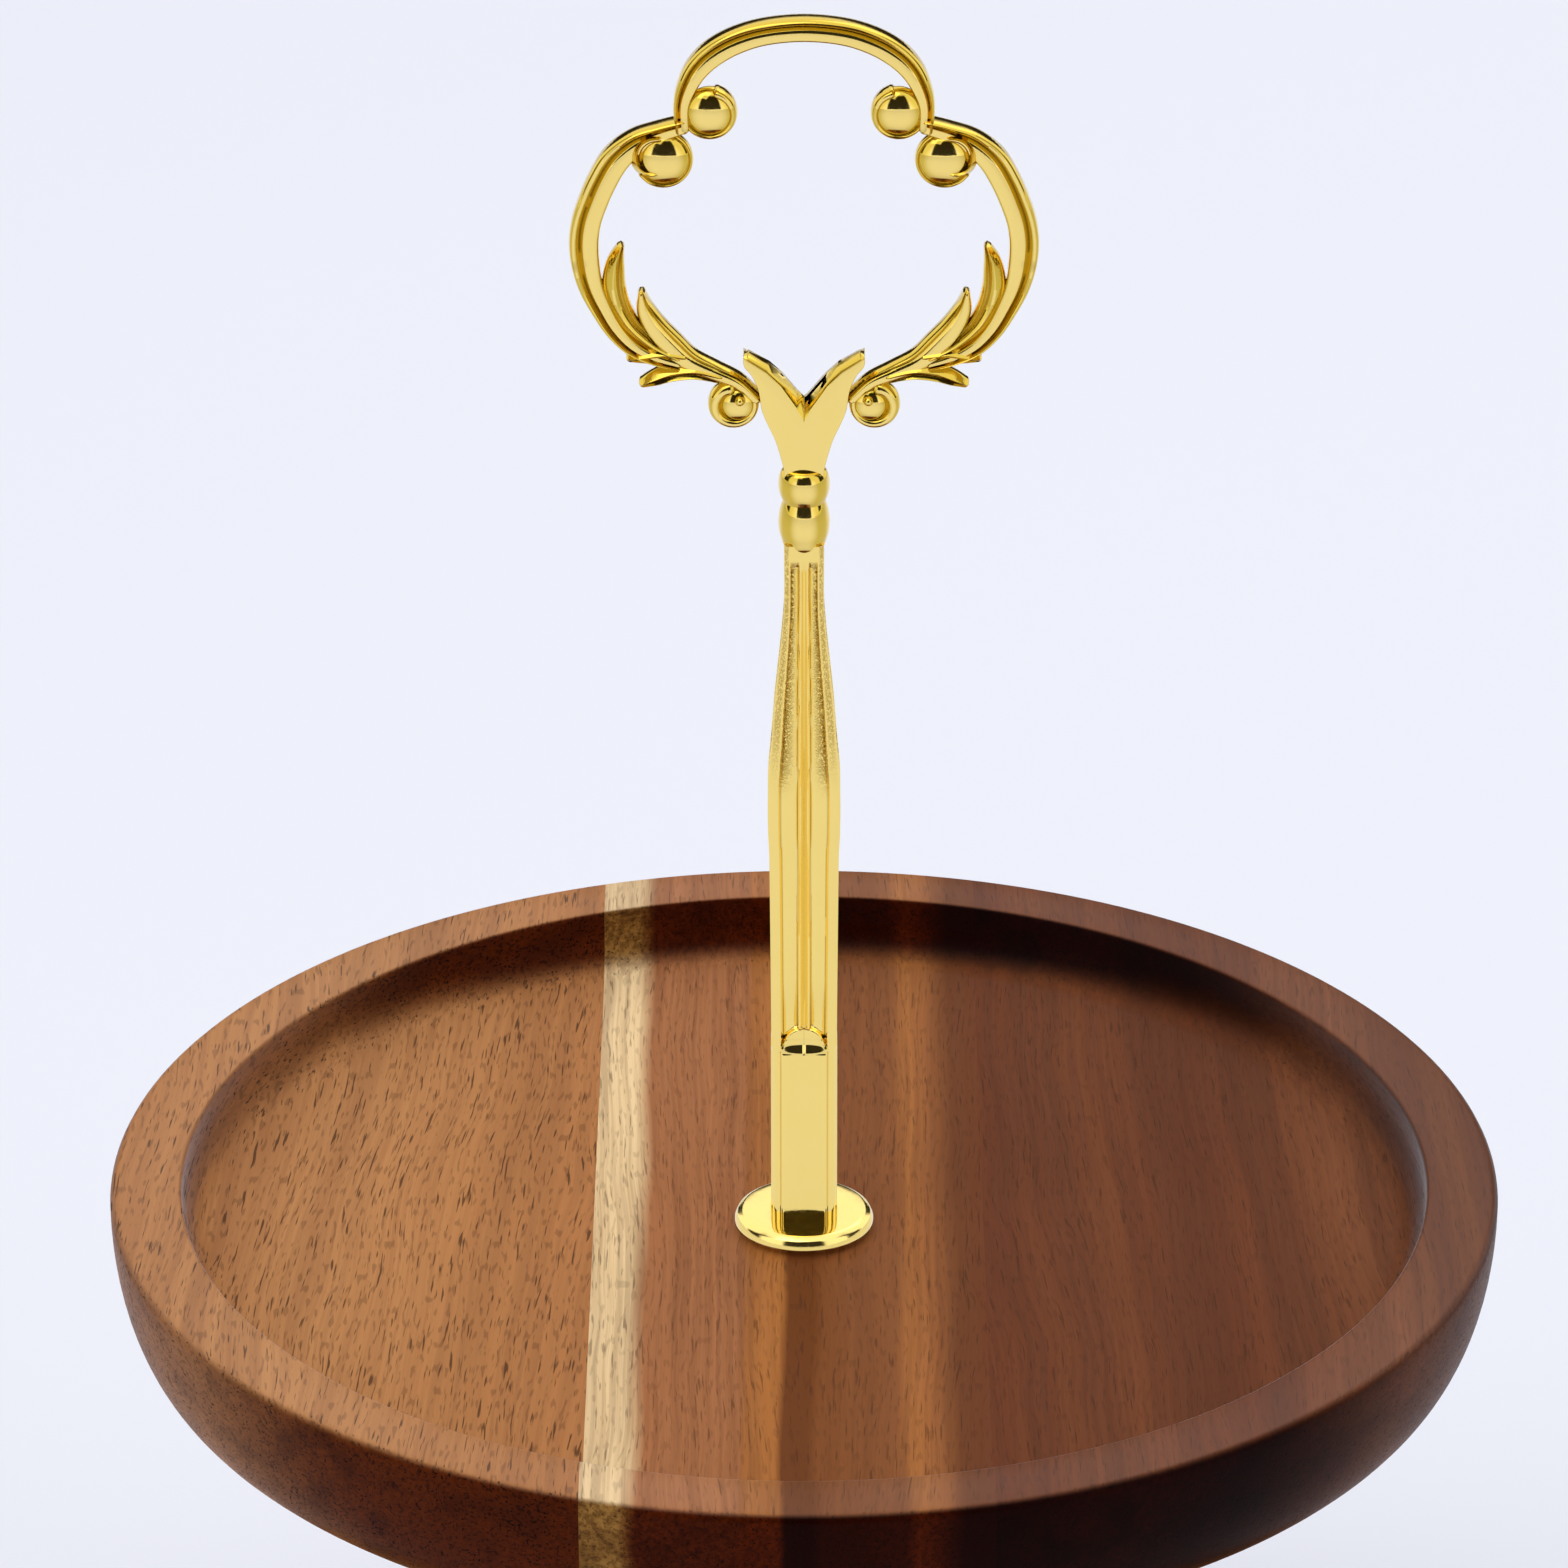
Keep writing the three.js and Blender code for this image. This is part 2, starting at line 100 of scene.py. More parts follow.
# %% A helper that puts down one shader node
def put(tree, kind, values=None, **settings):
    """Adds a shader node; values maps its inputs to numbers, colours or other nodes' outputs."""
    made = tree.nodes.new("ShaderNode" + kind)
    for name, value in settings.items():
        setattr(made, name, value)
    for name, value in (values or {}).items():
        if isinstance(value, bpy.types.NodeSocket):
            tree.links.new(value, made.inputs[name])
        else:
            made.inputs[name].default_value = value
    return made


def calc(tree, operation, a, b=0.0, c=0.0):
    """One step of arithmetic; gives its output."""
    return put(tree, "Math", {0: a, 1: b, 2: c}, operation=operation).outputs[0]


def ease(tree, value, low, high, out_low=0.0, out_high=1.0):
    """A soft step from out_low to out_high while value goes from low to high."""
    made = put(tree, "MapRange", {"Value": value, "From Min": low, "From Max": high,
                                  "To Min": out_low, "To Max": out_high},
               interpolation_type="SMOOTHSTEP")
    return made.outputs["Result"]


def tint(tree, factor, a, b, blend="MIX"):
    """Mixes two colours; gives the colour output."""
    made = put(tree, "Mix", data_type="RGBA", blend_type=blend)
    for socket, value in ((made.inputs[0], factor), (made.inputs[6], a), (made.inputs[7], b)):
        if isinstance(value, bpy.types.NodeSocket):
            tree.links.new(value, socket)
        else:
            socket.default_value = value
    return made.outputs[2]


def group(name, inputs, outputs):
    """A new shader node group with those sockets; gives its tree, input node and output node."""
    tree = bpy.data.node_groups.new(name, "ShaderNodeTree")
    for label, kind, value in inputs:
        socket = tree.interface.new_socket(label, in_out="INPUT", socket_type="NodeSocket" + kind)
        if value is not None:
            socket.default_value = value
    for label, kind in outputs:
        tree.interface.new_socket(label, in_out="OUTPUT", socket_type="NodeSocket" + kind)
    return tree, tree.nodes.new("NodeGroupInput"), tree.nodes.new("NodeGroupOutput")


def use(tree, made, values):
    """Places a node group in a material with its own values."""
    node = tree.nodes.new("ShaderNodeGroup")
    node.node_tree = made
    for name, value in values.items():
        if isinstance(value, bpy.types.NodeSocket):
            tree.links.new(value, node.inputs[name])
        else:
            node.inputs[name].default_value = value
    return node


def new_finish(name, **plain):
    """A material with a Principled shader, whose uniform numbers are set on its own sockets."""
    finish = bpy.data.materials.new(name)
    finish.use_nodes = True
    tree = finish.node_tree
    shader = tree.nodes["Principled BSDF"]
    for label, value in plain.items():
        shader.inputs[label.replace("_", " ")].default_value = value
    return finish, tree, shader


# %% [markdown]
# ## Floor and light
# The stand is shown in a pale studio. A wide floor fills the view behind it. Bright metal only
# looks like metal when it has something dark to reflect, so the surrounding light is bright
# overhead and has tall soft panels around it at eye height with dark gaps between them. The
# floor comes first, because the gold mirrors it more than anything else.

# %% Floor
FLOOR_SIZE = 24.0
floor_bm = bmesh.new()
bmesh.ops.create_grid(floor_bm, x_segments=4, y_segments=4, size=FLOOR_SIZE / 2)
floor_mesh = bpy.data.meshes.new("floor")
floor_bm.to_mesh(floor_mesh)
floor_bm.free()
floor = bpy.data.objects.new("floor", floor_mesh)
bpy.context.collection.objects.link(floor)
paper, paper_tree, paper_shader = new_finish("pale_paper", Roughness=0.9)
paper_place = put(paper_tree, "TexCoord").outputs["Object"]
paper_cloud = put(paper_tree, "TexNoise", {"Vector": paper_place, "Scale": 1.3}).outputs["Fac"]
paper_tree.links.new(
    tint(paper_tree, paper_cloud, (0.80, 0.81, 0.87, 1), (0.83, 0.84, 0.90, 1)),
    paper_shader.inputs["Base Color"])
floor_mesh.materials.append(paper)
print("floor is", FLOOR_SIZE, "m across")

# %% [markdown]
# A studio is built from softboxes and black cards. Here they are drawn on the world itself, by
# the direction of a ray: two tall panels at each side, one great soft light overhead and
# behind, a glow at the horizon, and dark everywhere else.

# %% Light all round
world = bpy.data.worlds.new("studio")
bpy.context.scene.world = world
world.use_nodes = True
sky = world.node_tree
sky_way = put(sky, "SeparateXYZ", {0: put(sky, "TexCoord").outputs["Generated"]})
sideways = calc(sky, "ABSOLUTE", sky_way.outputs["X"])
level = calc(sky, "SQRT", calc(
    sky, "ADD",
    calc(sky, "MULTIPLY", sky_way.outputs["X"], sky_way.outputs["X"]),
    calc(sky, "MULTIPLY", sky_way.outputs["Y"], sky_way.outputs["Y"])))
turned_by = calc(sky, "DIVIDE", sideways, calc(sky, "MAXIMUM", level, 0.001))
panels = calc(sky, "MULTIPLY", ease(sky, turned_by, 0.52, 0.60), ease(sky, turned_by, 0.985, 0.95))
behind = ease(sky, sky_way.outputs["Y"], -0.1, 0.3)
overhead = calc(sky, "MAXIMUM", ease(sky, sky_way.outputs["Z"], 0.76, 0.86),
                calc(sky, "MULTIPLY", behind, ease(sky, sky_way.outputs["Z"], 0.30, 0.42)))
low_glow = ease(sky, sky_way.outputs["Z"], 0.02, 0.0)
bright = calc(sky, "MAXIMUM", calc(sky, "MAXIMUM", panels, overhead), low_glow)
CARD_DARK, SOFTBOX_BRIGHT = (0.030, 0.027, 0.020, 1), (1.21, 1.225, 1.265, 1)
BACKDROP = (0.83, 0.84, 0.92, 1)
sky_tone = tint(sky, bright, CARD_DARK, SOFTBOX_BRIGHT)
seen = put(sky, "LightPath").outputs["Is Camera Ray"]
sky_shown = tint(sky, seen, sky_tone, BACKDROP)
sky.links.new(sky_shown, sky.nodes["Background"].inputs["Color"])
sky.nodes["Background"].inputs["Strength"].default_value = 1.0

LAMP_AIM = Vector((0, 0, 0.2))
for label, place, size, watts in (
    ("high_soft_light", (-0.5, -0.7, 1.7), 1.1, 4.0),
    ("back_soft_light", (0.6, 0.9, 1.5), 0.9, 2.0),
):
    lamp = bpy.data.objects.new(label, bpy.data.lights.new(label, "AREA"))
    bpy.context.collection.objects.link(lamp)
    lamp.location = place
    lamp.rotation_euler = (Vector(place) - LAMP_AIM).to_track_quat("Z", "Y").to_euler()
    lamp.data.size = size
    lamp.data.energy = watts
    print(label, "of", watts, "W")

# %% [markdown]
# ## Turned pieces
# Washers, feet, beads and the trays themselves are all round, so each is made like work on a
# lathe: an outline of radius and height is spun once round the axis. Every measure is in
# millimetres until a piece is finished, when it is brought to metres.


# %% Lathe helpers
def outline_edges(bm, points):
    """A chain of vertices and edges through the points."""
    verts = [bm.verts.new(p) for p in points]
    return verts + [bm.edges.new(pair) for pair in zip(verts, verts[1:])]


def spin_outline(bm, outline, steps=96):
    """Spins an outline of (radius, z) once round the axis."""
    chain = outline_edges(bm, [(r, 0, z) for r, z in outline])
    bmesh.ops.spin(bm, geom=chain, cent=(0, 0, 0), axis=(0, 0, 1), dvec=(0, 0, 0),
                   angle=FULL_TURN, steps=steps, use_merge=True, use_duplicate=False)
    bmesh.ops.remove_doubles(bm, verts=bm.verts, dist=0.002)


def soften(bm, width, segments=3, sharper_than=25):
    """Rounds every edge that is sharper than the given angle."""
    bmesh.ops.recalc_face_normals(bm, faces=bm.faces)
    limit = math.radians(sharper_than)
    sharp = [e for e in bm.edges if len(e.link_faces) == 2 and e.calc_face_angle(0) > limit]
    bmesh.ops.bevel(bm, geom=sharp, offset=width, segments=segments, profile=0.5,
                    affect="EDGES", clamp_overlap=True, material=-1)


def curve_through(points, per_span):
    """Points on a smooth curve through the given ones, which may hold any number of values."""
    rows = [points[0], *points, points[-1]]
    made = []
    for a, b, c, d in zip(rows, rows[1:], rows[2:], rows[3:]):
        for step in range(per_span):
            t = step / per_span
            made.append(tuple(
                0.5 * (2 * q + (r - p) * t + (2 * p - 5 * q + 4 * r - s) * t * t
                       + (3 * q - p - 3 * r + s) * t ** 3)
                for p, q, r, s in zip(a, b, c, d)))
    return made + [tuple(points[-1])]


def finish_piece(bm, name, body, finish, node, crease=40):
    """Brings a mesh to metres, makes it an object with its finish, ties it to its body and hides the
    solid it stands for.
    """
    bmesh.ops.remove_doubles(bm, verts=bm.verts, dist=0.0005)
    bmesh.ops.recalc_face_normals(bm, faces=bm.faces)
    bmesh.ops.scale(bm, vec=(MM, MM, MM), verts=bm.verts)
    mesh = bpy.data.meshes.new(name)
    bm.to_mesh(mesh)
    bm.free()
    mesh.shade_smooth()
    mesh.set_sharp_from_angle(angle=math.radians(crease))
    mesh.materials.append(finish)
    piece = bpy.data.objects.new(name, mesh)
    bpy.context.collection.objects.link(piece)
    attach(piece, body)
    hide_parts(node)
    print(f"{name}: {len(mesh.polygons)} faces on {body}")
    return piece


# %% [markdown]
# ## Gilt casting finish
# The post and ring are zinc castings, polished and plated with a thin bright gold. The plating
# is a clean mirror on the broad faces, slightly uneven from the polishing, and it keeps a fine
# cast grain in the narrow places where a buffing wheel doesn't reach. One group holds the
# polishing marks, and another the grain, so castings and loose fittings can share them.

# %% Group: polishing marks
polish_tree, polish_in, polish_out = group(
    "polishing_marks",
    [("Vector", "Vector", None), ("Base", "Float", 0.1), ("Spread", "Float", 0.08)],
    [("Roughness", "Float"), ("Height", "Float")])
polish_place = polish_in.outputs["Vector"]
swirl = put(polish_tree, "TexNoise", {"Vector": polish_place, "Scale": 0.22, "Detail": 4.0})
haze = put(polish_tree, "TexNoise", {"Vector": polish_place, "Scale": 1.6, "Detail": 3.0})
dull = calc(polish_tree, "MULTIPLY", ease(polish_tree, haze.outputs["Fac"], 0.45, 0.75),
            polish_in.outputs["Spread"])
polish_tree.links.new(calc(polish_tree, "ADD", polish_in.outputs["Base"], dull),
                      polish_out.inputs["Roughness"])
polish_tree.links.new(swirl.outputs["Fac"], polish_out.inputs["Height"])
print("group polishing_marks has", len(polish_tree.nodes), "nodes")

# %% [markdown]
# Molten zinc takes the grain of its mould. Noise with a soft threshold gives small pebbles, and
# a second output marks the pits between them, so colour and relief can follow the same grain.

# %% Group: cast grain
grain_tree, grain_in, grain_out = group(
    "cast_grain", [("Vector", "Vector", None), ("Where", "Float", 0.0)],
    [("Height", "Float"), ("Pits", "Float")])
pebble = put(grain_tree, "TexNoise", {"Vector": grain_in.outputs["Vector"],
                                      "Scale": 3.4, "Detail": 3.0})
raised = ease(grain_tree, pebble.outputs["Fac"], 0.40, 0.62)
between = calc(grain_tree, "SUBTRACT", 1.0, raised)
for amount, label in ((raised, "Height"), (between, "Pits")):
    grain_tree.links.new(calc(grain_tree, "MULTIPLY", amount, grain_in.outputs["Where"]),
                         grain_out.inputs[label])
print("group cast_grain has", len(grain_tree.nodes), "nodes")


# %% [markdown]
# The finish puts the marks and the grain together. Crevices get a painted shade: Pointiness finds them
# and tints them a deep gold, which stands in for gold mirroring more gold. Rims and beads get a painted
# reflection as well, a deeper gold where they turn away from the flat faces, read from the normal.


# %% The gilt finish
def in_millimetres(tree):
    """Object coordinates in millimetres."""
    mapping = put(tree, "Mapping", {"Vector": put(tree, "TexCoord").outputs["Object"],
                                    "Scale": (1 / MM, 1 / MM, 1 / MM)})
    return mapping.outputs["Vector"]


GOLD_WARM, GOLD_PALE = (0.975, 0.735, 0.215, 1), (0.99, 0.755, 0.24, 1)
# Of the three, the pit gold belongs to the cast grain; the second is a painted reflection for rims and
# the third a painted shade for crevices.
GOLD_PIT, GOLD_PAINTED_REFLECTION, GOLD_PAINTED_SHADE = (0.50, 0.30, 0.03, 1), (0.60, 0.40, 0.012, 1), (0.20, 0.12, 0.012, 1)
# How much painted reflection the post's turned beads get on their rims.
BEAD_PAINTED_REFLECTION = 0.75


def gilt(name, base_roughness, grain_amount, hollow_shade, rims=0.0):
    """Bright gold plating with painted shade in crevices and a painted reflection on rims, grainy where
    the piece says so.
    """
    finish, tree, shader = new_finish(name, Metallic=1.0)
    place = in_millimetres(tree)
    marks = use(tree, polish_tree, {"Vector": place, "Base": base_roughness, "Spread": 0.07})
    where = put(tree, "Attribute", attribute_name="cast").outputs["Fac"]
    cast = use(tree, grain_tree, {"Vector": place, "Where": where})
    tone = tint(tree, marks.outputs["Height"], GOLD_WARM, GOLD_PALE)
    tone = tint(tree, cast.outputs["Pits"], tone, GOLD_PIT)
    # Painted reflection: where rims and beads turn away from the flat faces, the gold is made deeper.
    axes = put(tree, "SeparateXYZ", {0: put(tree, "TexCoord").outputs["Normal"]})
    facing = calc(tree, "MAXIMUM", calc(tree, "ABSOLUTE", axes.outputs["X"]),
                  calc(tree, "ABSOLUTE", axes.outputs["Y"]))
    bead = put(tree, "Attribute", attribute_name="bead").outputs["Fac"]
    painted_rim_reflection = calc(tree, "MULTIPLY", ease(tree, facing, 0.985, 0.80),
                  calc(tree, "MAXIMUM", calc(tree, "MULTIPLY", bead, BEAD_PAINTED_REFLECTION), rims))
    tone = tint(tree, painted_rim_reflection, tone, GOLD_PAINTED_REFLECTION)
    # Painted shade: crevices found by Pointiness are tinted a deeper gold.
    sunk = put(tree, "NewGeometry").outputs["Pointiness"]
    painted_hollow_shade = ease(tree, sunk, 0.485, 0.40, 0.0, hollow_shade)
    tree.links.new(tint(tree, painted_hollow_shade, tone, GOLD_PAINTED_SHADE), shader.inputs["Base Color"])
    tree.links.new(marks.outputs["Roughness"], shader.inputs["Roughness"])
    skin = put(tree, "Bump", {"Height": marks.outputs["Height"], "Strength": 0.10,
                              "Distance": 0.0004})
    bump = put(tree, "Bump", {"Height": cast.outputs["Height"], "Strength": grain_amount,
                              "Distance": 0.00008, "Normal": skin.outputs["Normal"]})
    tree.links.new(bump.outputs["Normal"], shader.inputs["Normal"])
    return finish


# The fourth number of each is how strong the painted shade in crevices is.
gilt_casting = gilt("gilt_casting", 0.07, 1.1, 0.85)
# The ring's fifth number is the painted reflection on the rims of its limbs.
gilt_ring = gilt("gilt_ring", 0.08, 0.0, 0.9, 0.75)
gilt_fitting = gilt("gilt_fitting", 0.12, 0.0, 0.3)
print("gilt finishes made")

# %% [markdown]
# ## The ring handle
# The ring is one flat casting worked on both sides: a top arc between two curled volutes, two
# side arcs with volutes of their own, leaves, and a fork that carries it on a round bead. Each
# limb is a section carried along its line: a small face is extruded, then moved, turned and
# widened to its next station, over and over. That keeps the long even edges that catch light.

# %% Stations of the ring's right half, in millimetres above the bead
BEAD_TALL = 5
BEAD_TOP = span_mm("handle")[0].z + BEAD_TALL

TOP_ARC = [(16.7, 50.6, 2.0), (16.8, 53.7, 2.2), (16.2, 56.2, 2.7), (14.8, 59, 3.2),
           (12.6, 61.3, 3.5), (9.4, 63.2, 3.5), (5.3, 64.5, 3.4), (0, 65, 3.4)]
SIDE_ARC = [(16.9, 50.9, 2.2), (20, 49.9, 2.6), (23.2, 48.4, 3.4), (25.9, 45.9, 4.0),
            (27.7, 42.8, 4.1), (29, 39.7, 4.1), (29.9, 36.9, 4.1), (30.3, 33.9, 4.1),
            (30.1, 30.6, 3.9), (29.4, 27.3, 3.4), (28, 24, 2.9), (26.2, 20.8, 2.5),
            (23.8, 18.2, 2.1), (20.8, 16.6, 1.6), (17.5, 15.6, 1.2)]
LEAF_OUTER = [(25.3, 33.0, 1.2), (26.0, 30.6, 2.6), (26.2, 27.2, 3.3), (25.4, 24.0, 3.2),
              (23.6, 21.0, 2.8), (20.6, 18.4, 2.2), (17.6, 16.8, 1.8)]
LEAF_INNER = [(22.4, 26.2, 1.1), (21.9, 23.8, 2.5), (20.5, 21.2, 3.3), (18.4, 18.6, 3.7),
              (15.8, 16.2, 3.3), (12.3, 14.5, 2.7), (9.1, 13, 2.1), (6.6, 10.6, 1.8)]
BARB_HIGH = [(24.1, 16.7, 1.1), (22, 16.9, 2.1), (19.6, 17.2, 2.6), (16.9, 16.9, 2.6)]
BARB_LOW = [(22.3, 12.95, 1.3), (20.6, 13.6, 2.2), (18.3, 14.4, 2.6), (15.1, 14.7, 2.6),
            (11.9, 14.0, 2.2)]
print("bead top is at", round(BEAD_TOP, 2), "mm")

# %% [markdown]
# Each kind of limb has its own section. The band has a flat face, a groove and a raised bead
# along its outer edge. A leaf has a ridge and a lower vein, a stem has a broad crown and a thin
# vein, and a cord is plainly round. The back is the front's mirror image.

# %% Sections, as (across, forward) from inside to outside on the front face
BAND_FRONT = [(-0.5, 0.55), (-0.49, 1.0), (-0.45, 1.22), (-0.38, 1.3), (-0.2, 1.33),
              (0.02, 1.34), (0.06, 1.2), (0.1, 0.9), (0.15, 0.78), (0.19, 0.95), (0.23, 1.35),
              (0.28, 1.66), (0.35, 1.78), (0.42, 1.66), (0.48, 1.25), (0.5, 0.6)]
LEAF_FRONT = [(-0.5, 0.3), (-0.48, 0.62), (-0.41, 0.82), (-0.27, 1.12), (-0.13, 1.55),
              (-0.05, 1.72), (0.03, 1.64), (0.13, 1.2), (0.21, 0.98), (0.29, 1.1), (0.37, 1.3),
              (0.44, 1.12), (0.49, 0.7), (0.5, 0.3)]
STEM_FRONT = [(-0.5, 0.5), (-0.46, 1.0), (-0.36, 1.3), (-0.22, 1.42), (0.0, 1.46), (0.12, 1.4),
              (0.18, 1.22), (0.23, 1.14), (0.28, 1.26), (0.35, 1.5), (0.42, 1.3), (0.48, 0.9),
              (0.5, 0.5)]
CORD_FRONT = [(-0.5, 0.15), (-0.46, 0.6), (-0.36, 1.0), (-0.2, 1.25), (0.0, 1.35), (0.2, 1.25),
              (0.36, 1.0), (0.46, 0.6), (0.5, 0.15)]


def both_sides(front):
    """Closes a front outline with its own mirror image at the back."""
    return [(u, -v) for u, v in front] + [(u, v) for u, v in reversed(front)]


print("sections of", len(both_sides(BAND_FRONT)), "and", len(both_sides(LEAF_FRONT)), "points")

# %% [markdown]
# A limb could be a curve with a bevel profile, but here its width and depth change apart from
# each other. So a face is extruded once for each station, and moved there by the step between
# two station matrices. Rounded ends are a few more stations that close in on the tip.


# %% Carry a section along a limb
END_REACH = 0.45
END_ANGLES = (0.4, 0.8, 1.15, 1.42)
END_THIN = 0.35


def station_matrix(here, ahead, side=1):
    """Stands a section across its limb: X across, Y forward and back, Z along."""
    along = Vector((ahead[0], 0, ahead[1])).normalized()
    across = Vector((along.z, 0, -along.x)) * side
    deep = here[3]
    rows = Matrix((across * here[2], Vector((0, deep, 0)), along)).transposed().to_4x4()
    return Matrix.Translation(Vector((here[0], 0, here[1]))) @ rows


def add_part(whole, part):
    """Adds one finished mesh to another and frees it."""
    spare = bpy.data.meshes.new("part")
    part.to_mesh(spare)
    part.free()
    whole.from_mesh(spare)
    bpy.data.meshes.remove(spare)


def carry(whole, front, stations, side=1, per_span=6):
    """Extrudes a section from station to station, each (x, z, width, depth scale)."""
    bm = bmesh.new()
    rows = [(s[0], s[1], s[2], s[3] if len(s) > 3 else 1.0) for s in stations]
    line = curve_through(rows, per_span)
    ways = [(b[0] - a[0], b[1] - a[1]) for a, b in
            zip([line[0], *line[:-1]], [*line[1:], line[-1]])]
    ends = []
    for tip, way, sign in ((line[0], ways[0], -1), (line[-1], ways[-1], 1)):
        length = math.hypot(*way)
        reach = tip[2] * END_REACH
        ends.append([
            ((tip[0] + sign * way[0] / length * reach * math.sin(a),
              tip[1] + sign * way[1] / length * reach * math.sin(a),
              tip[2] * math.cos(a), tip[3] * (END_THIN + (1 - END_THIN) * math.cos(a))), way)
            for a in END_ANGLES])
    poses = [station_matrix(p, w, side) for p, w in
             [*reversed(ends[0]), *zip(line, ways), *ends[1]]]
    verts = [bm.verts.new((u, v, 0)) for u, v in both_sides(front)]
    face = bm.faces.new(verts)
    bmesh.ops.transform(bm, matrix=poses[0], verts=verts)
    for before, after in zip(poses, poses[1:]):
        grown = bmesh.ops.extrude_face_region(bm, geom=[face])["geom"]
        face = next(g for g in grown if isinstance(g, bmesh.types.BMFace))
        bmesh.ops.transform(bm, matrix=after @ before.inverted(), verts=face.verts[:])
    bmesh.ops.recalc_face_normals(bm, faces=bm.faces)
    add_part(whole, bm)


def dome(bm, x, z, radius, half_thick):
    """A button with a domed front and back."""
    ball = bmesh.ops.create_uvsphere(bm, u_segments=40, v_segments=24, radius=1.0)["verts"]
    bmesh.ops.rotate(bm, verts=ball, cent=(0, 0, 0), matrix=Matrix.Rotation(math.pi / 2, 3, "X"))
    bmesh.ops.scale(bm, vec=(radius, half_thick, radius), verts=ball)
    bmesh.ops.translate(bm, vec=(x, 0, z), verts=ball)


def curl(centre, radii, start, sweep, widths, depths, count=9):
    """Stations of a curl that closes in on its centre, from start through sweep degrees."""
    made = []
    for i in range(count):
        t = i / (count - 1)
        at = math.radians(start + sweep * t)
        r = radii[0] + (radii[1] - radii[0]) * t
        width = widths[0] + (widths[1] - widths[0]) * t
        depth = depths[0] + (depths[1] - depths[0]) * t
        made.append((centre[0] + r * math.cos(at), centre[1] + r * math.sin(at), width, depth))
    return made


print("limb helpers ready")

# %% [markdown]
# The right half goes together as a chaser would lay it out: first the side arc, then leaves and
# barbs over its foot, then the volutes. A volute is a button with a cord curled round it. The
# limbs run into each other, and each stays a closed shell.


# %% The ring's right half
def ring_half(bm):
    """One side of the ring from the top arc's volute down to the scroll by the fork."""
    carry(bm, BAND_FRONT, SIDE_ARC, side=-1, per_span=7)
    carry(bm, LEAF_FRONT, LEAF_OUTER, side=1)
    carry(bm, STEM_FRONT, LEAF_INNER, side=1)
    carry(bm, LEAF_FRONT, BARB_HIGH, side=-1)
    carry(bm, LEAF_FRONT, BARB_LOW, side=-1)
    dome(bm, 12.9, 52.9, 3.62, 2.25)
    carry(bm, CORD_FRONT, curl((12.95, 52.9), (3.62, 3.1), 5, -255, (0.6, 1.5), (0.75, 1.35), 14))
    dome(bm, 19.2, 46.0, 3.9, 2.3)
    carry(bm, CORD_FRONT, curl((19.3, 46.0), (3.85, 3.7), 75, 250, (0.6, 0.8), (0.7, 0.9), 14))
    carry(bm, LEAF_FRONT, curl((20.5, 46.3), (3.2, 1.9), 100, -190, (1.2, 2.1), (1.15, 1.3), 10))
    dome(bm, 9.2, 9.6, 2.75, 1.9)
    carry(bm, CORD_FRONT, curl((9.8, 9.7), (3.15, 2.45), 100, 335, (0.9, 2.2), (0.95, 1.3), 18))
    dome(bm, 8.9, 10.5, 1.05, 2.3)


# %% [markdown]
# The left half is a mirror image of the right. The top arc crosses the middle, so it is carried
# in one go from volute to volute, because a seam at the top would show in the gold.

# %% Both halves and the top arc
ring = bmesh.new()
ring_half(ring)
bmesh.ops.mirror(ring, geom=ring.verts[:] + ring.edges[:] + ring.faces[:],
                 matrix=Matrix.Identity(4), merge_dist=-1, axis="X")
arc_left = [(-x, z, w) for x, z, w in TOP_ARC]
carry(ring, BAND_FRONT, arc_left + TOP_ARC[-2::-1], side=-1, per_span=7)
print("ring so far:", len(ring.faces), "faces")

# %% [markdown]
# The fork is a flat plate, so it is drawn as one face and pushed to its thickness in steps. Its
# long top edge is sloped down at the front and back, and the other edges are only softened.

# %% The fork
FORK_NOTCH = (0, 10.5)
FORK_CREST = [(0.8, 11.4), (3, 14.1), (4.8, 15.8), (7.7, 17.5)]
FORK_SIDE = [(8.4, 17.2), (8.3, 15.8), (7.2, 14.3), (6.3, 12.1), (5.9, 9.4), (5.2, 7.4), (3.9, 4.4),
             (2.85, 0.4), (2.8, -1.2)]
FORK_HALF = FORK_CREST + curve_through(FORK_SIDE, 4)
FORK_HALF_THICK = 1.9
CREST_DROP = {FORK_NOTCH: (0, -3.0), (0.8, 11.4): (-0.25, -1.9), (3, 14.1): (0.25, -1.25),
              (4.8, 15.8): (0.45, -0.9), (7.7, 17.5): (-0.25, -0.75)}
CREST_DEPTH = 1.5

fork = bmesh.new()
fork_line = [FORK_NOTCH, *FORK_HALF, *[(-x, z) for x, z in reversed(FORK_HALF)]]
face = fork.faces.new([fork.verts.new((x, -FORK_HALF_THICK, z)) for x, z in fork_line])
front_verts = face.verts[:]
for step in (CREST_DEPTH, 2 * (FORK_HALF_THICK - CREST_DEPTH), CREST_DEPTH):
    pushed = bmesh.ops.extrude_face_region(fork, geom=[face])["geom"]
    face = next(g for g in pushed if isinstance(g, bmesh.types.BMFace))
    bmesh.ops.translate(fork, vec=(0, step, 0), verts=face.verts[:])
for vert in front_verts + face.verts[:]:
    drop = CREST_DROP.get((round(abs(vert.co.x), 3), round(vert.co.z, 3)))
    if drop:
        vert.co.x += math.copysign(drop[0], vert.co.x)
        vert.co.z += drop[1]
soften(fork, 0.2, 3, 14)
print("fork:", len(fork.faces), "faces")

# %% [markdown]
# The bead is where the handle meets the post, so it is round like a lathe's work and hides the
# screw. Fork, bead and limbs then become one piece, since they're one casting.

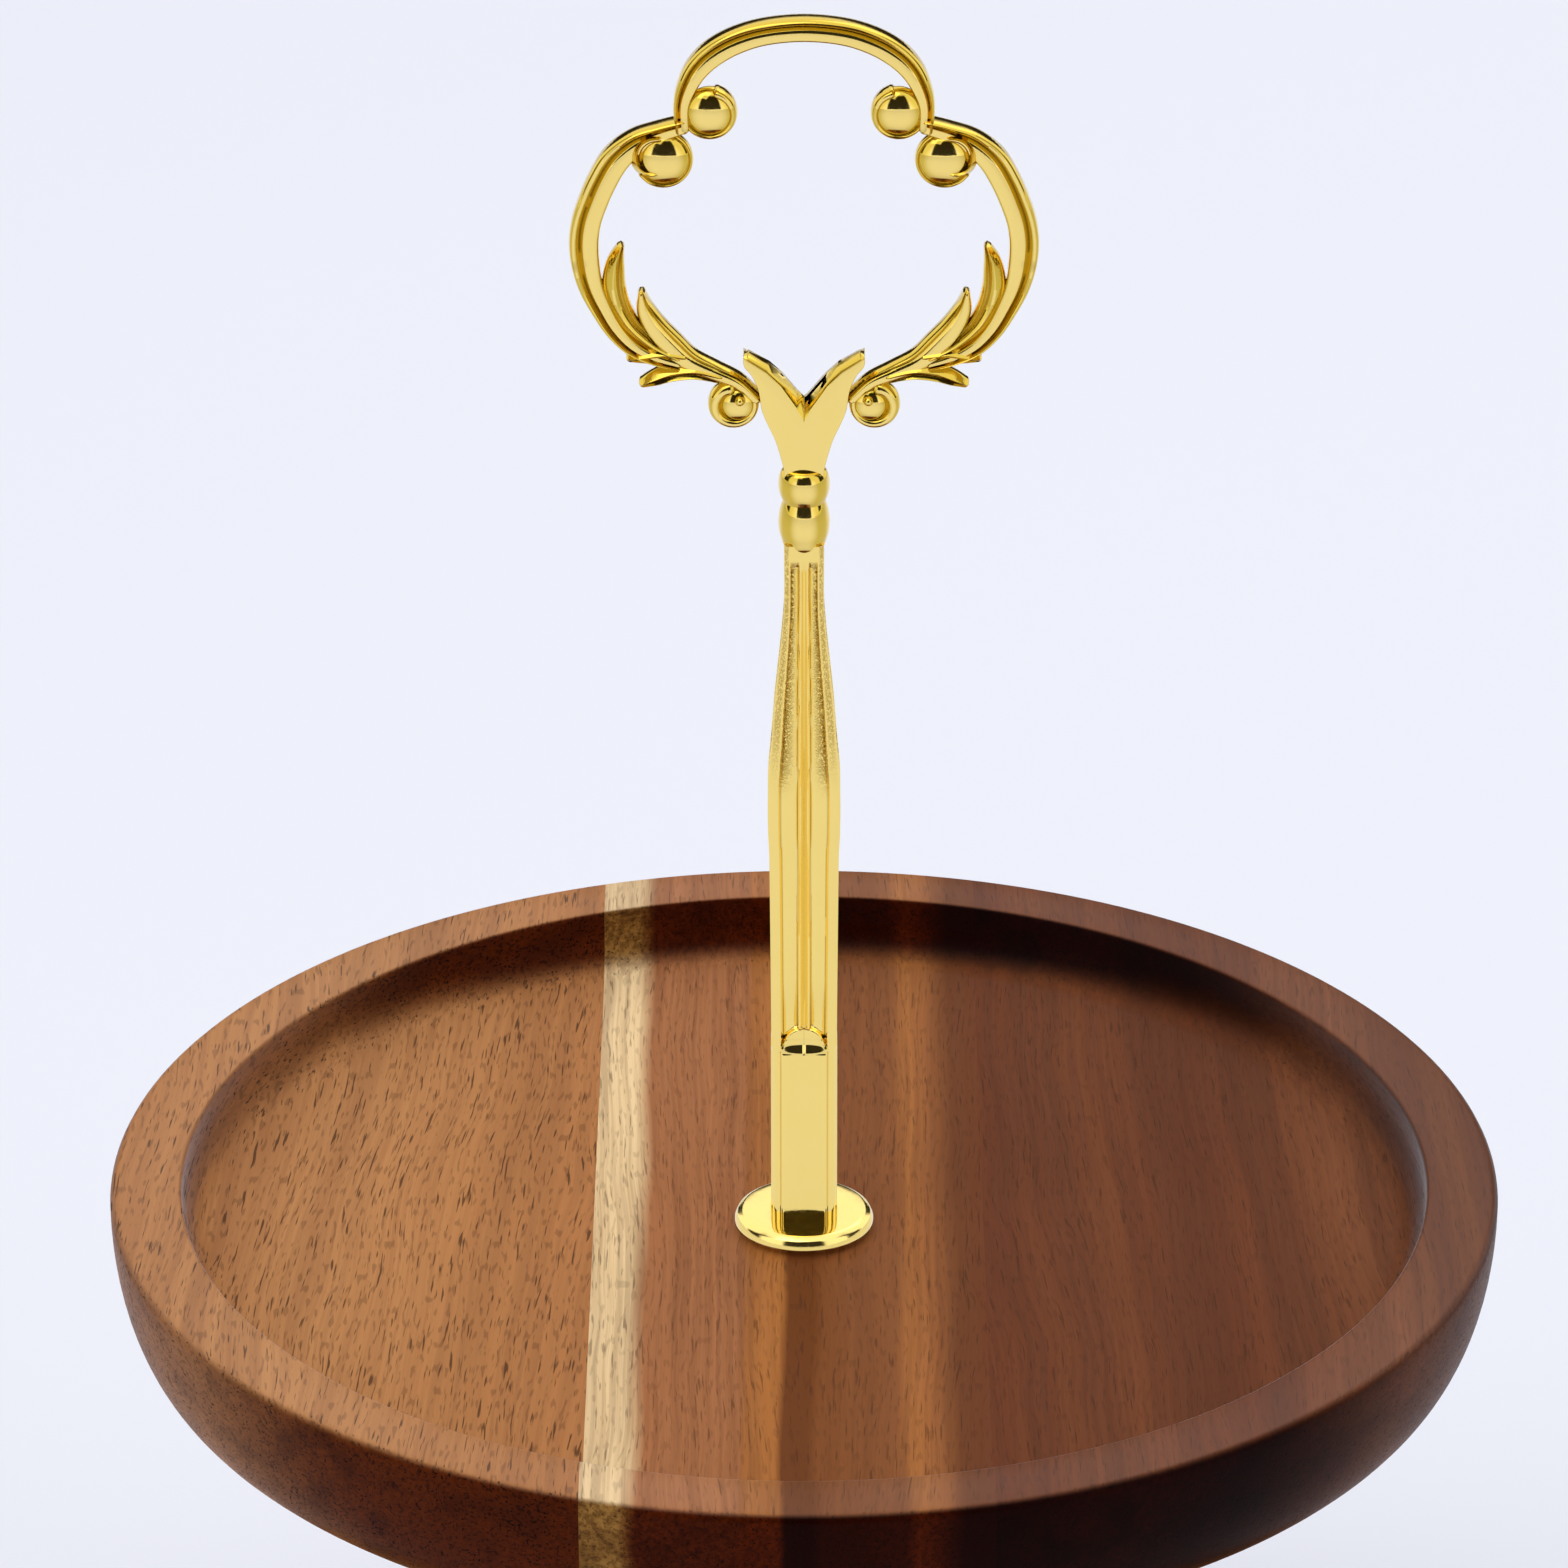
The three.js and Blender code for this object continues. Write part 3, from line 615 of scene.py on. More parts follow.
# %% The bead, and the whole handle together
HANDLE_BEAD = [(3.0, -BEAD_TALL), (3.12, -4.7), (3.38, -4), (3.56, -3.2), (3.6, -2.5), (3.54, -1.7),
               (3.34, -0.9), (2.98, -0.3), (2.5, -0.02)]
handle_bead = bmesh.new()
spin_outline(handle_bead, [(0, -BEAD_TALL), (2.9, -BEAD_TALL),
                           *curve_through(HANDLE_BEAD, 4), (0, 0)], 64)
for part in (fork, handle_bead):
    add_part(ring, part)
bmesh.ops.translate(ring, vec=(0, 0, BEAD_TOP), verts=ring.verts)
finish_piece(ring, "ring_handle", "grip", gilt_ring, "handle", 50)

# %% [markdown]
# ## The post
# Each post section is a square casting with cut corners. Its four faces are alike: a plain block
# at the foot, then a sunk panel with a round-ended shoulder and a raised reed down its middle,
# swelling to a belly and drawing in to a thin neck. One face is worked as a flat grid that is
# pressed into shape, and a spin of four steps gives the other three.

# %% Heights and widths of a post section
ROD_LENGTH = span_mm("upper_rod")[1].z - span_mm("upper_rod")[0].z
BEAD_FOOT = 104.7
BLOCK_TOP = 27.0
SHOULDER_TOP = 31.0
PANEL_TOP = 103.4
REED_HALF = 0.82
REED_CHANNEL = 0.5
CREASE_INSET, CREASE_HALF, CREASE_DEPTH = 0.14, 0.26, 0.32
CORNER_SHARE = 0.135
ROD_WIDTHS = [(0, 9.5), (27, 9.5), (30.8, 9.4), (55.8, 9.8), (62, 10.2), (68.4, 10.2), (74.2, 9.28),
              (80.6, 8.36), (86.4, 7.21), (91.5, 6.24), (96.5, 5.6), (103.7, 5.6), (105.6, 5.6)]
WIDTH_LINE = curve_through(ROD_WIDTHS, 8)


def rod_width(height):
    """Width over flats at a height above the section's foot."""
    for (z0, w0), (z1, w1) in zip(WIDTH_LINE, WIDTH_LINE[1:]):
        if z0 <= height <= z1:
            return w0 + (w1 - w0) * (height - z0) / max(z1 - z0, 1e-6)
    return WIDTH_LINE[-1][1]


def blend(value, low, high):
    """A soft 0 to 1 step."""
    t = min(max((value - low) / (high - low), 0.0), 1.0)
    return t * t * (3 - 2 * t)


belly = max(width for height, width in ROD_WIDTHS)
print("post section is", round(ROD_LENGTH, 2), "mm long, belly", belly, "mm")


# %% [markdown]
# The depth of a face is one function of place: the panel falls from its margins, the reed
# stands in the middle with a channel along it, the shoulder rises from the block as a dome, and
# the panel ends softly under the bead. The same function says where the cast grain stays.


# %% The depth of a face
PANEL_MARGIN = 0.12
PANEL_CROWN = 0.22
PANEL_DEPTH = 0.95
FOOT_DEPTH_MORE = 0.6
FULL_HALF_WIDTH = 3.1
REED_TOP_DROP = 0.06
REED_EDGE = 0.12
CHANNEL_SHARE = 0.56
DOME_STEP, DOME_LEAN, DOME_SPLIT = 0.52, 0.14, 0.14


def reed_and_panel(x, panel, field, floor_depth, narrow, reed):
    """Depth of the panel with its reed, away from the shoulder."""
    channel = reed * CHANNEL_SHARE
    if abs(x) < channel:
        return REED_TOP_DROP + REED_CHANNEL * narrow * math.cos(0.5 * math.pi * abs(x) / channel)
    if abs(x) < reed + REED_EDGE:
        edge = blend(abs(x), reed - REED_EDGE, reed + REED_EDGE)
        return REED_TOP_DROP + (floor_depth - REED_TOP_DROP) * edge
    return field - PANEL_CROWN * field * math.sin(math.pi * (abs(x) - reed) / (panel - reed))


def panel_depth(x, height, flat):
    """How far the face is pressed in at x from its middle, and how grainy it is there."""
    panel = flat - PANEL_MARGIN
    across = abs(x) / panel
    if height < BLOCK_TOP or across > 1:
        return 0.0, 0.0
    narrow = min(flat / FULL_HALF_WIDTH, 1.0)
    floor_depth = (PANEL_DEPTH + FOOT_DEPTH_MORE * blend(-height, -39, -31)) * narrow ** 0.5
    field = floor_depth * blend(panel - abs(x), 0.0, 0.35 * narrow)
    reed = REED_HALF * (0.62 + 0.38 * narrow)
    sunk = reed_and_panel(x, panel, field, floor_depth, narrow, reed)
    rise = (height - BLOCK_TOP) / (SHOULDER_TOP - BLOCK_TOP)
    out = across ** 2.4 + rise ** 2
    dome = (DOME_STEP * blend(rise, 0.0, 0.42) * (1 - 0.7 * across ** 2) + DOME_LEAN * out
            + DOME_SPLIT * (1 - blend(abs(x), 0.06, 0.2)))
    outside = blend(out, 0.86, 1.1) * blend(rise, 0.05, 0.45)
    sunk = sunk * outside + dome * (1 - outside) * blend(height, BLOCK_TOP, BLOCK_TOP + 0.12)
    ended = blend(PANEL_TOP - height, 0.0, 1.6)
    grain = blend(height, 66, 76) * blend(abs(x), reed + 0.1, panel)
    return sunk * ended, grain * ended


def corner_groove(x, height, flat):
    """The fine groove that parts the block's face from its chamfers."""
    off = (flat - CREASE_INSET - abs(x)) / CREASE_HALF
    return CREASE_DEPTH * max(1 - off * off, 0.0) * (1 - blend(height, BLOCK_TOP, BLOCK_TOP + 1.2))


# %% [markdown]
# The face starts as a flat grid. Its columns are lanes, 57 evenly across the face and two more down
# each chamfer. Its rows are close together over the shoulder. The bead on top is lathe work, marked so
# that its rims take the painted reflection, a deeper gold.


# %% A whole post section
FACE_LANE, CHAMFER_LANE = 0.72, 0.86
FACE_STEPS = 56
FACE_LANES = [-FACE_LANE + 2 * FACE_LANE * i / FACE_STEPS for i in range(FACE_STEPS + 1)]
LANES = [-1.0, -CHAMFER_LANE, *FACE_LANES, CHAMFER_LANE, 1.0]
FACE_TOP = BEAD_FOOT + 0.9
ROWS = sorted({*[i * 0.9 for i in range(30)], *[26.95 + i * 0.105 for i in range(44)],
               *[32 + i * 0.8 for i in range(92)], BLOCK_TOP, PANEL_TOP, FACE_TOP})
HEIGHTS = [height for height in ROWS if height <= FACE_TOP]
BEAD_LINE = [(2.8, 0), (3.0, 0.45), (3.24, 1.3), (3.5, 2.3), (3.6, 3.3), (3.6, 4.1), (3.46, 5.2),
             (3.25, 6.1)]
BEAD_SEAT = 3.0


def press_face(bm, cast):
    """Presses a flat grid of lanes and heights into the shape of one face and its chamfers."""
    for v in bm.verts:
        lane = LANES[round((v.co.x + 1) / 2 * (len(LANES) - 1))]
        height = HEIGHTS[round((v.co.y + 1) / 2 * (len(HEIGHTS) - 1))]
        half = rod_width(height) / 2
        flat = half * (1 - 2 * CORNER_SHARE)
        if abs(lane) <= FACE_LANE:
            x = lane / FACE_LANE * flat
            sunk, grain = panel_depth(x, height, flat)
            v.co = (x, -half + max(sunk, corner_groove(x, height, flat)), height)
            v[cast] = grain
        else:
            share = (abs(lane) - FACE_LANE) / (1 - FACE_LANE) * (half - flat) / 2
            v.co = (math.copysign(flat + share, lane), -half + share, height)
            v[cast] = 0.75 * blend(height, 68, 80)


def post_section(foot, name, body, node):
    """A whole post section, standing on foot."""
    bm = bmesh.new()
    cast = bm.verts.layers.float.new("cast")
    turned = bm.verts.layers.float.new("bead")
    bmesh.ops.create_grid(bm, x_segments=len(LANES) - 1, y_segments=len(HEIGHTS) - 1, size=1)
    press_face(bm, cast)
    bmesh.ops.spin(bm, geom=bm.verts[:] + bm.edges[:] + bm.faces[:], cent=(0, 0, 0), axis=(0, 0, 1),
                   dvec=(0, 0, 0), angle=FULL_TURN, steps=4, use_merge=False, use_duplicate=True)
    bmesh.ops.remove_doubles(bm, verts=bm.verts, dist=0.01)
    bmesh.ops.recalc_face_normals(bm, faces=bm.faces)
    bmesh.ops.holes_fill(bm, edges=[e for e in bm.edges if len(e.link_faces) == 1], sides=0)
    worked = set(bm.verts)
    bead = [(radius, BEAD_FOOT + height) for radius, height in BEAD_LINE] + [(BEAD_SEAT, ROD_LENGTH)]
    spin_outline(bm, [(0, BEAD_FOOT - 0.6), (2.2, BEAD_FOOT - 0.5), *curve_through(bead, 4),
                      (0, ROD_LENGTH)], 64)
    for v in bm.verts:
        v[turned] = 0.0 if v in worked else 1.0
    bmesh.ops.translate(bm, vec=(0, 0, foot), verts=bm.verts)
    return finish_piece(bm, name, body, gilt_casting, node, 38)


post_section(span_mm("upper_rod")[0].z, "upper_post", "top_section", "upper_rod")
post_section(span_mm("lower_rod")[0].z, "lower_post", "post", "lower_rod")

# %% [markdown]
# ## Small turned fittings
# Between wood and post sit a gilt cup flange and a washer, each on a clear silicone ring that
# keeps the metal from marking the wood. They're plain lathe work with softly broken edges.


# %% A turned fitting
def turned_fitting(outline, edge, name, body, finish, node):
    """A round piece from an outline of (radius, z), with its edges softened."""
    bm = bmesh.new()
    spin_outline(bm, outline, 96)
    soften(bm, edge)
    return finish_piece(bm, name, body, finish, node)


BORE = 2.5
FLANGE_CROWN = 0.62


def ring_outline(node, crown=0.0):
    """Outline of a flat ring as big as its node, with a shallow crown if asked."""
    low, high = span_mm(node)
    radius, top = high.x, high.z
    if not crown:
        return [(BORE, low.z), (radius, low.z), (radius, top), (BORE, top), (BORE, low.z)]
    return [(BORE, low.z), (radius, low.z), (radius, low.z + 0.5), (radius - 0.35, top - crown),
            (radius - 1.1, top - 0.1), (radius - 2.2, top), (BORE, top), (BORE, low.z)]


for fitting, body in (("upper_flange", "upper_tray"), ("lower_flange", "post")):
    turned_fitting(ring_outline(fitting, crown=FLANGE_CROWN), 0.16, fitting + "_cup", body,
                   gilt_fitting, fitting)
turned_fitting(ring_outline("upper_washer_under"), 0.18, "upper_under_washer", "post",
               gilt_fitting, "upper_washer_under")

# %% [markdown]
# ## Silicone
# The feet and rings are clear silicone, which looks milky and soft rather than like glass. It
# is kept a pale, slightly waxy surface with a faint cloud of dust caught on it.

# %% Silicone finish and pieces
silicone, tree, shader = new_finish("milky_silicone", Roughness=0.32, IOR=1.41)
shader.inputs["Subsurface Weight"].default_value = 0.25
shader.inputs["Subsurface Scale"].default_value = 0.002
place = in_millimetres(tree)
cloud = put(tree, "TexNoise", {"Vector": place, "Scale": 0.35, "Detail": 3.0}).outputs["Fac"]
dust = put(tree, "TexNoise", {"Vector": place, "Scale": 2.8, "Detail": 2.0}).outputs["Fac"]
tree.links.new(tint(tree, cloud, (0.80, 0.82, 0.82, 1), (0.88, 0.89, 0.87, 1)),
               shader.inputs["Base Color"])
tree.links.new(ease(tree, dust, 0.4, 0.7, 0.26, 0.5), shader.inputs["Roughness"])
skin = put(tree, "Bump", {"Height": dust, "Strength": 0.25, "Distance": 0.00003})
tree.links.new(skin.outputs["Normal"], shader.inputs["Normal"])

for gasket, body in (("upper_gasket_top", "upper_tray"), ("upper_gasket_under", "post"),
                     ("lower_gasket_top", "base")):
    turned_fitting(ring_outline(gasket), 0.22, gasket + "_ring", body, silicone, gasket)

FOOT_SIDE = [(0, 0), (0.62, 0.0), (0.78, 0.16), (0.9, 0.62), (0.97, 1.5), (1, 2.6), (1, 3.0)]
for number in range(1, 5):
    low, high = span_mm(f"foot_{number}")
    middle = (low + high) / 2
    foot = bmesh.new()
    reach = (high.x - low.x) / 2
    side = [(reach * share, height) for share, height in FOOT_SIDE]
    spin_outline(foot, curve_through(side, 5) + [(0, FOOT_SIDE[-1][1])], 48)
    bmesh.ops.translate(foot, vec=(middle.x, middle.y, low.z), verts=foot.verts)
    finish_piece(foot, f"bumper_foot_{number}", "base", silicone, f"foot_{number}")

# %% [markdown]
# ## Screws
# Ordinary screws are steel with a thin coat of zinc, which is duller than gilt and a little
# blue in places. The same polishing marks serve, with a rougher base and a wider spread.

# %% Zinc-plated steel
zinc, tree, shader = new_finish("zinc_steel", Metallic=1.0)
place = in_millimetres(tree)
marks = use(tree, polish_tree, {"Vector": place, "Base": 0.22, "Spread": 0.16})
hue = tint(tree, ease(tree, marks.outputs["Height"], 0.35, 0.65),
           (0.60, 0.62, 0.66, 1), (0.68, 0.67, 0.63, 1))
tree.links.new(hue, shader.inputs["Base Color"])
tree.links.new(marks.outputs["Roughness"], shader.inputs["Roughness"])
skin = put(tree, "Bump", {"Height": marks.outputs["Height"], "Strength": 0.15, "Distance": 0.0002})
tree.links.new(skin.outputs["Normal"], shader.inputs["Normal"])
print("zinc finish has", len(tree.nodes), "nodes")

# %% [markdown]
# The studs and the bolt carry a real right-hand thread. One tooth of it is drawn and spun with
# a small rise at every step, so that each turn meets the next, and the ends are then cut flat.

# %% A threaded rod
PITCH = 0.7
THREAD_RADIUS = 2.0
THREAD_DEPTH = 0.42
THREAD_STEPS = 20


def threaded_rod(bottom, top):
    """A rod with an M4 thread between two heights, cut flat at both ends."""
    bm = bmesh.new()
    root, crest = THREAD_RADIUS - THREAD_DEPTH, THREAD_RADIUS
    start = bottom - PITCH
    turns = math.ceil((top - start) / PITCH) + 1
    tooth = [(root, 0), (root, 0.1), (crest, 0.42), (crest, 0.51), (root, 0.9), (root, 1.0)]
    chain = outline_edges(bm, [(r, 0, start + z * PITCH) for r, z in tooth])
    bmesh.ops.spin(bm, geom=chain, cent=(0, 0, 0), axis=(0, 0, 1), dvec=(0, 0, PITCH / THREAD_STEPS),
                   angle=FULL_TURN * turns, steps=THREAD_STEPS * turns,
                   use_merge=False, use_duplicate=False)
    bmesh.ops.remove_doubles(bm, verts=bm.verts, dist=0.004)
    for height, way in ((bottom, -1), (top, 1)):
        bmesh.ops.bisect_plane(bm, geom=bm.verts[:] + bm.edges[:] + bm.faces[:],
                               plane_co=(0, 0, height), plane_no=(0, 0, way),
                               clear_outer=True, clear_inner=False)
    bmesh.ops.holes_fill(bm, edges=[e for e in bm.edges if len(e.link_faces) == 1], sides=0)
    return bm


for stud, name, body in (("upper_rod_stud", "section_stud", "section_screw"),
                         ("handle_stud", "handle_screw_stud", "handle_screw")):
    low, high = span_mm(stud)
    finish_piece(threaded_rod(low.z, high.z), name, body, zinc, stud, 30)

# %% [markdown]
# The bolt is put in from below with a hexagon key. Its socket starts as a six-sided disc at the
# bottom of the hole, whose edge is pulled out to the mouth and bridged to the lathe-made head.

# %% The bolt from below, with its socket head and wide washer
low, high = span_mm("base_bolt")
HEAD_RADIUS = high.x
HEAD_TOP = span_mm("base_washer")[0].z
SOCKET_RADIUS = 1.6
SOCKET_DEPTH = 1.5
bolt = threaded_rod(HEAD_TOP - 0.2, high.z)
head = bmesh.new()
socket = bmesh.ops.create_circle(head, cap_ends=True, cap_tris=False, segments=6,
                                 radius=SOCKET_RADIUS)["verts"]
bmesh.ops.translate(head, vec=(0, 0, low.z + SOCKET_DEPTH), verts=socket)
walls = bmesh.ops.extrude_edge_only(head, edges=[e for e in head.edges if e.is_boundary])["geom"]
mouth = [g for g in walls if isinstance(g, bmesh.types.BMVert)]
bmesh.ops.translate(head, vec=(0, 0, -SOCKET_DEPTH), verts=mouth)
crown = [(2.9, low.z), (3.5, low.z + 0.25), (3.88, low.z + 0.9), (HEAD_RADIUS, low.z + 1.6),
         (HEAD_RADIUS, HEAD_TOP)]
spin_outline(head, [(2.5, low.z), *curve_through(crown, 4), (0, HEAD_TOP)], 48)
rims = [e for e in head.edges if e.is_boundary]
bmesh.ops.bridge_loops(head, edges=rims)
add_part(bolt, head)
finish_piece(bolt, "base_screw", "post", zinc, "base_bolt", 30)
turned_fitting(ring_outline("base_washer"), 0.15, "base_wide_washer", "post", zinc,
               "base_washer")

# %% [markdown]
# ## Turned trays
# A tray is glued up from a few acacia boards with the grain along them, turned on a lathe, and
# hollowed to a flat floor with a coved edge. So the tray is spun whole from one outline and
# then cut at its glue lines, as the real boards would be if the glue let go.

# %% Outline of a tray
TRAY_HEIGHT = 22.5
RECESS_FLOOR = 13.5
FOOT_INSET = 8.5
RIM_WIDTH = 10.3
COVE = 6.0
HOLE_RADIUS = 2.7
WALL_ROUND = 1.4
LIP_ROUND = 0.7
LATHE_STEPS = 224
RIM_BAND = 0.8


def quarter(centre, radii, start, end, count):
    """Points on part of an ellipse, from start to end in degrees."""
    made = []
    for i in range(count + 1):
        a = math.radians(start + (end - start) * i / count)
        made.append((centre[0] + radii[0] * math.cos(a), centre[1] + radii[1] * math.sin(a)))
    return made


def tray_outline(radius, base, counterbore=None):
    """Outline of a tray of that radius standing on base, as (radius, z)."""
    wall_top = TRAY_HEIGHT - WALL_ROUND
    wall = quarter((radius - FOOT_INSET, wall_top), (FOOT_INSET, wall_top), -88, 0, 16)
    rim = quarter((radius - WALL_ROUND, wall_top), (WALL_ROUND, WALL_ROUND), 0, 90, 5)[1:]
    inside = radius - RIM_WIDTH
    lip = quarter((inside + LIP_ROUND, TRAY_HEIGHT - LIP_ROUND), (LIP_ROUND, LIP_ROUND), 90, 180, 4)
    cove = quarter((inside - COVE, RECESS_FLOOR + COVE), (COVE, COVE), 0, -90, 9)
    floor_line = [(HOLE_RADIUS + 0.4, RECESS_FLOOR), (HOLE_RADIUS, RECESS_FLOOR - 0.4)]
    under = [(HOLE_RADIUS, 0.3), (HOLE_RADIUS + 0.3, 0)]
    if counterbore:
        bore_radius, bore_depth = counterbore
        under = [(HOLE_RADIUS, bore_depth), (bore_radius, bore_depth), (bore_radius, 0.4),
                 (bore_radius + 0.4, 0)]
    low = [(radius - FOOT_INSET - 0.5, 0.0)]
    line = under + low + wall + rim + lip + cove + floor_line
    return [(r, z + base) for r, z in [*line, under[0]]]


print("tray is", TRAY_HEIGHT, "mm high, its recess", TRAY_HEIGHT - RECESS_FLOOR, "mm deep")

# %% [markdown]
# A board is what two saw cuts leave of the whole tray. The lathe gives 224 flats to a turn,
# which are too fine to see. The rim is marked, so that the finish can wax it.


# %% A board cut from a turned tray
def tray_board(outline, west, east, name, body, finish, node):
    """The part of a turned tray between two glue lines."""
    bm = bmesh.new()
    rim = bm.verts.layers.float.new("rim")
    spin_outline(bm, outline, LATHE_STEPS)
    top = max(z for _, z in outline)
    for vert in bm.verts:
        vert[rim] = 1.0 if vert.co.z > top - RIM_BAND else 0.0
    for glue_line, way in ((west, -1), (east, 1)):
        if glue_line is None:
            continue
        cut = bmesh.ops.bisect_plane(bm, geom=bm.verts[:] + bm.edges[:] + bm.faces[:], dist=0.0005,
                                     plane_co=(glue_line, 0, 0), plane_no=(way, 0, 0),
                                     clear_outer=True)
        joint = [g for g in cut["geom_cut"] if isinstance(g, bmesh.types.BMEdge)]
        bmesh.ops.edgenet_fill(bm, edges=joint, mat_nr=0, use_smooth=False, sides=0)
    return finish_piece(bm, name, body, finish, node, 32)


# %% [markdown]
# ## Acacia
# Acacia has a pale sapwood, a strongly streaked heartwood from golden to chocolate, and long open pores
# that show as fine dark dashes along the grain and as dots where the grain ends on the front and back
# of a round tray. Oil darkens the end grain most, and the same darkening is also painted shade on the
# tray's outer wall. A group gives the figure that all boards share; each board brings its own colours
# across its width.

# %% Group: acacia figure
acacia_tree, acacia_in, acacia_out = group(
    "acacia_figure",
    [("Vector", "Vector", None), ("Tone", "Color", (0.4, 0.2, 0.1, 1)),
     ("Streak", "Color", (0.2, 0.08, 0.04, 1)), ("Streaks", "Float", 0.5),
     ("Pores", "Float", 0.6), ("Slope", "Float", 0.0), ("Oil and shade", "Float", 0.0)],
    [("Color", "Color"), ("Roughness", "Float"), ("Height", "Float")])
# The oiled-end colour darkens end grain for its oil and also paints shade on the outer wall.
PORE_DARK, OILED_END_AND_SHADE = (0.055, 0.022, 0.010, 1), (0.46, 0.44, 0.36, 1)
g = acacia_tree
place = acacia_in.outputs["Vector"]
axes = put(g, "SeparateXYZ", {0: place})
slow = put(g, "Mapping", {"Vector": place, "Scale": (0.03, 0.012, 0.03)}).outputs[0]
wander = put(g, "TexNoise", {"Vector": slow, "Scale": 1.0, "Detail": 2.0}).outputs["Fac"]
lean = calc(g, "MULTIPLY", axes.outputs["Y"], acacia_in.outputs["Slope"])
across = calc(g, "ADD", calc(g, "ADD", axes.outputs["X"], lean), calc(g, "MULTIPLY", wander, 9.0))
laid = put(g, "CombineXYZ", {"X": across, "Y": axes.outputs["Y"],
                             "Z": axes.outputs["Z"]}).outputs[0]


def along_grain(scale_across, scale_along, detail, roughness=0.5):
    """Noise drawn out along the board."""
    stretched = put(g, "Mapping", {"Vector": laid, "Scale": (scale_across, scale_along, scale_across)})
    return put(g, "TexNoise", {"Vector": stretched.outputs[0], "Scale": 1.0, "Detail": detail,
                               "Roughness": roughness}).outputs["Fac"]


bands = ease(g, along_grain(0.16, 0.004, 3.0), 0.42, 0.66)
lines = along_grain(1.1, 0.012, 4.0, 0.65)
fibres = along_grain(4.5, 0.05, 2.0)
dashes = ease(g, along_grain(2.6, 0.16, 1.0), 0.62, 0.72)
dots = ease(g, along_grain(1.9, 0.3, 0.0), 0.60, 0.70)
tone = tint(g, calc(g, "MULTIPLY", bands, acacia_in.outputs["Streaks"]), acacia_in.outputs["Tone"],
            acacia_in.outputs["Streak"])
tone = tint(g, ease(g, lines, 0.36, 0.62, 0.36, 0.0), tone, acacia_in.outputs["Streak"])
fibre_tone = tint(g, 0.6, tone, (1, 0.85, 0.68, 1), "MULTIPLY")
tone = tint(g, ease(g, fibres, 0.3, 0.7, 0.0, 0.35), tone, fibre_tone)
pores = calc(g, "MULTIPLY", calc(g, "MAXIMUM", dashes, calc(g, "MULTIPLY", dots, 0.4)),
             acacia_in.outputs["Pores"])
tone = tint(g, pores, tone, PORE_DARK)
# Oil and painted shade: here the tone is squared and darkened, for oil in the end grain and for shade
# on the tray's outer wall.
oiled_and_shaded_end = tint(g, 1.0, tint(g, 1.0, tone, tone, "MULTIPLY"), OILED_END_AND_SHADE, "MULTIPLY")
tone = tint(g, acacia_in.outputs["Oil and shade"], tone, oiled_and_shaded_end)
g.links.new(tone, acacia_out.inputs["Color"])
gloss = calc(g, "ADD", calc(g, "MULTIPLY", pores, 0.25), ease(g, fibres, 0.2, 0.8, 0.30, 0.42))
g.links.new(gloss, acacia_out.inputs["Roughness"])
relief = calc(g, "SUBTRACT", calc(g, "MULTIPLY", fibres, 0.25), pores)
g.links.new(relief, acacia_out.inputs["Height"])
print("group acacia_figure has", len(g.nodes), "nodes")

# %% [markdown]
# Oil soaks into end grain more than into the rest. The grain runs front to back, so it ends where a
# surface faces forward; there the darkening is partly that oil and partly painted shade on the outer
# wall. Where a surface faces sideways, half as much painted shade is added, for the rest of the wall.
# One output of the group says where.

# %% Group: where the grain ends, and painted shade on the wall
oil_and_shade_tree, end_in, end_out = group("grain_end_and_shade", [("Normal", "Vector", None)], [("Mask", "Float")])
facing = put(oil_and_shade_tree, "SeparateXYZ", {0: end_in.outputs["Normal"]})
forward = ease(oil_and_shade_tree, calc(oil_and_shade_tree, "ABSOLUTE", facing.outputs["Y"]), 0.25, 0.8)
# Painted shade: sideways faces are long grain, so their half-strength darkening is only shade on the
# wall.
painted_side_shade = ease(oil_and_shade_tree, calc(oil_and_shade_tree, "ABSOLUTE", facing.outputs["X"]), 0.3, 0.9, 0.0, 0.5)
oil_and_shade_tree.links.new(calc(oil_and_shade_tree, "MAXIMUM", forward, painted_side_shade), end_out.inputs["Mask"])
print("group grain_end_and_shade has", len(oil_and_shade_tree.nodes), "nodes")

# %% [markdown]
# A board's own finish is a row of colours across its width, from glue line to glue line. Noise
# bends their edges a little, and the shared figure goes on top. Only the rim keeps some wax,
# which is the coat, because the floor of a used tray is rubbed dull.


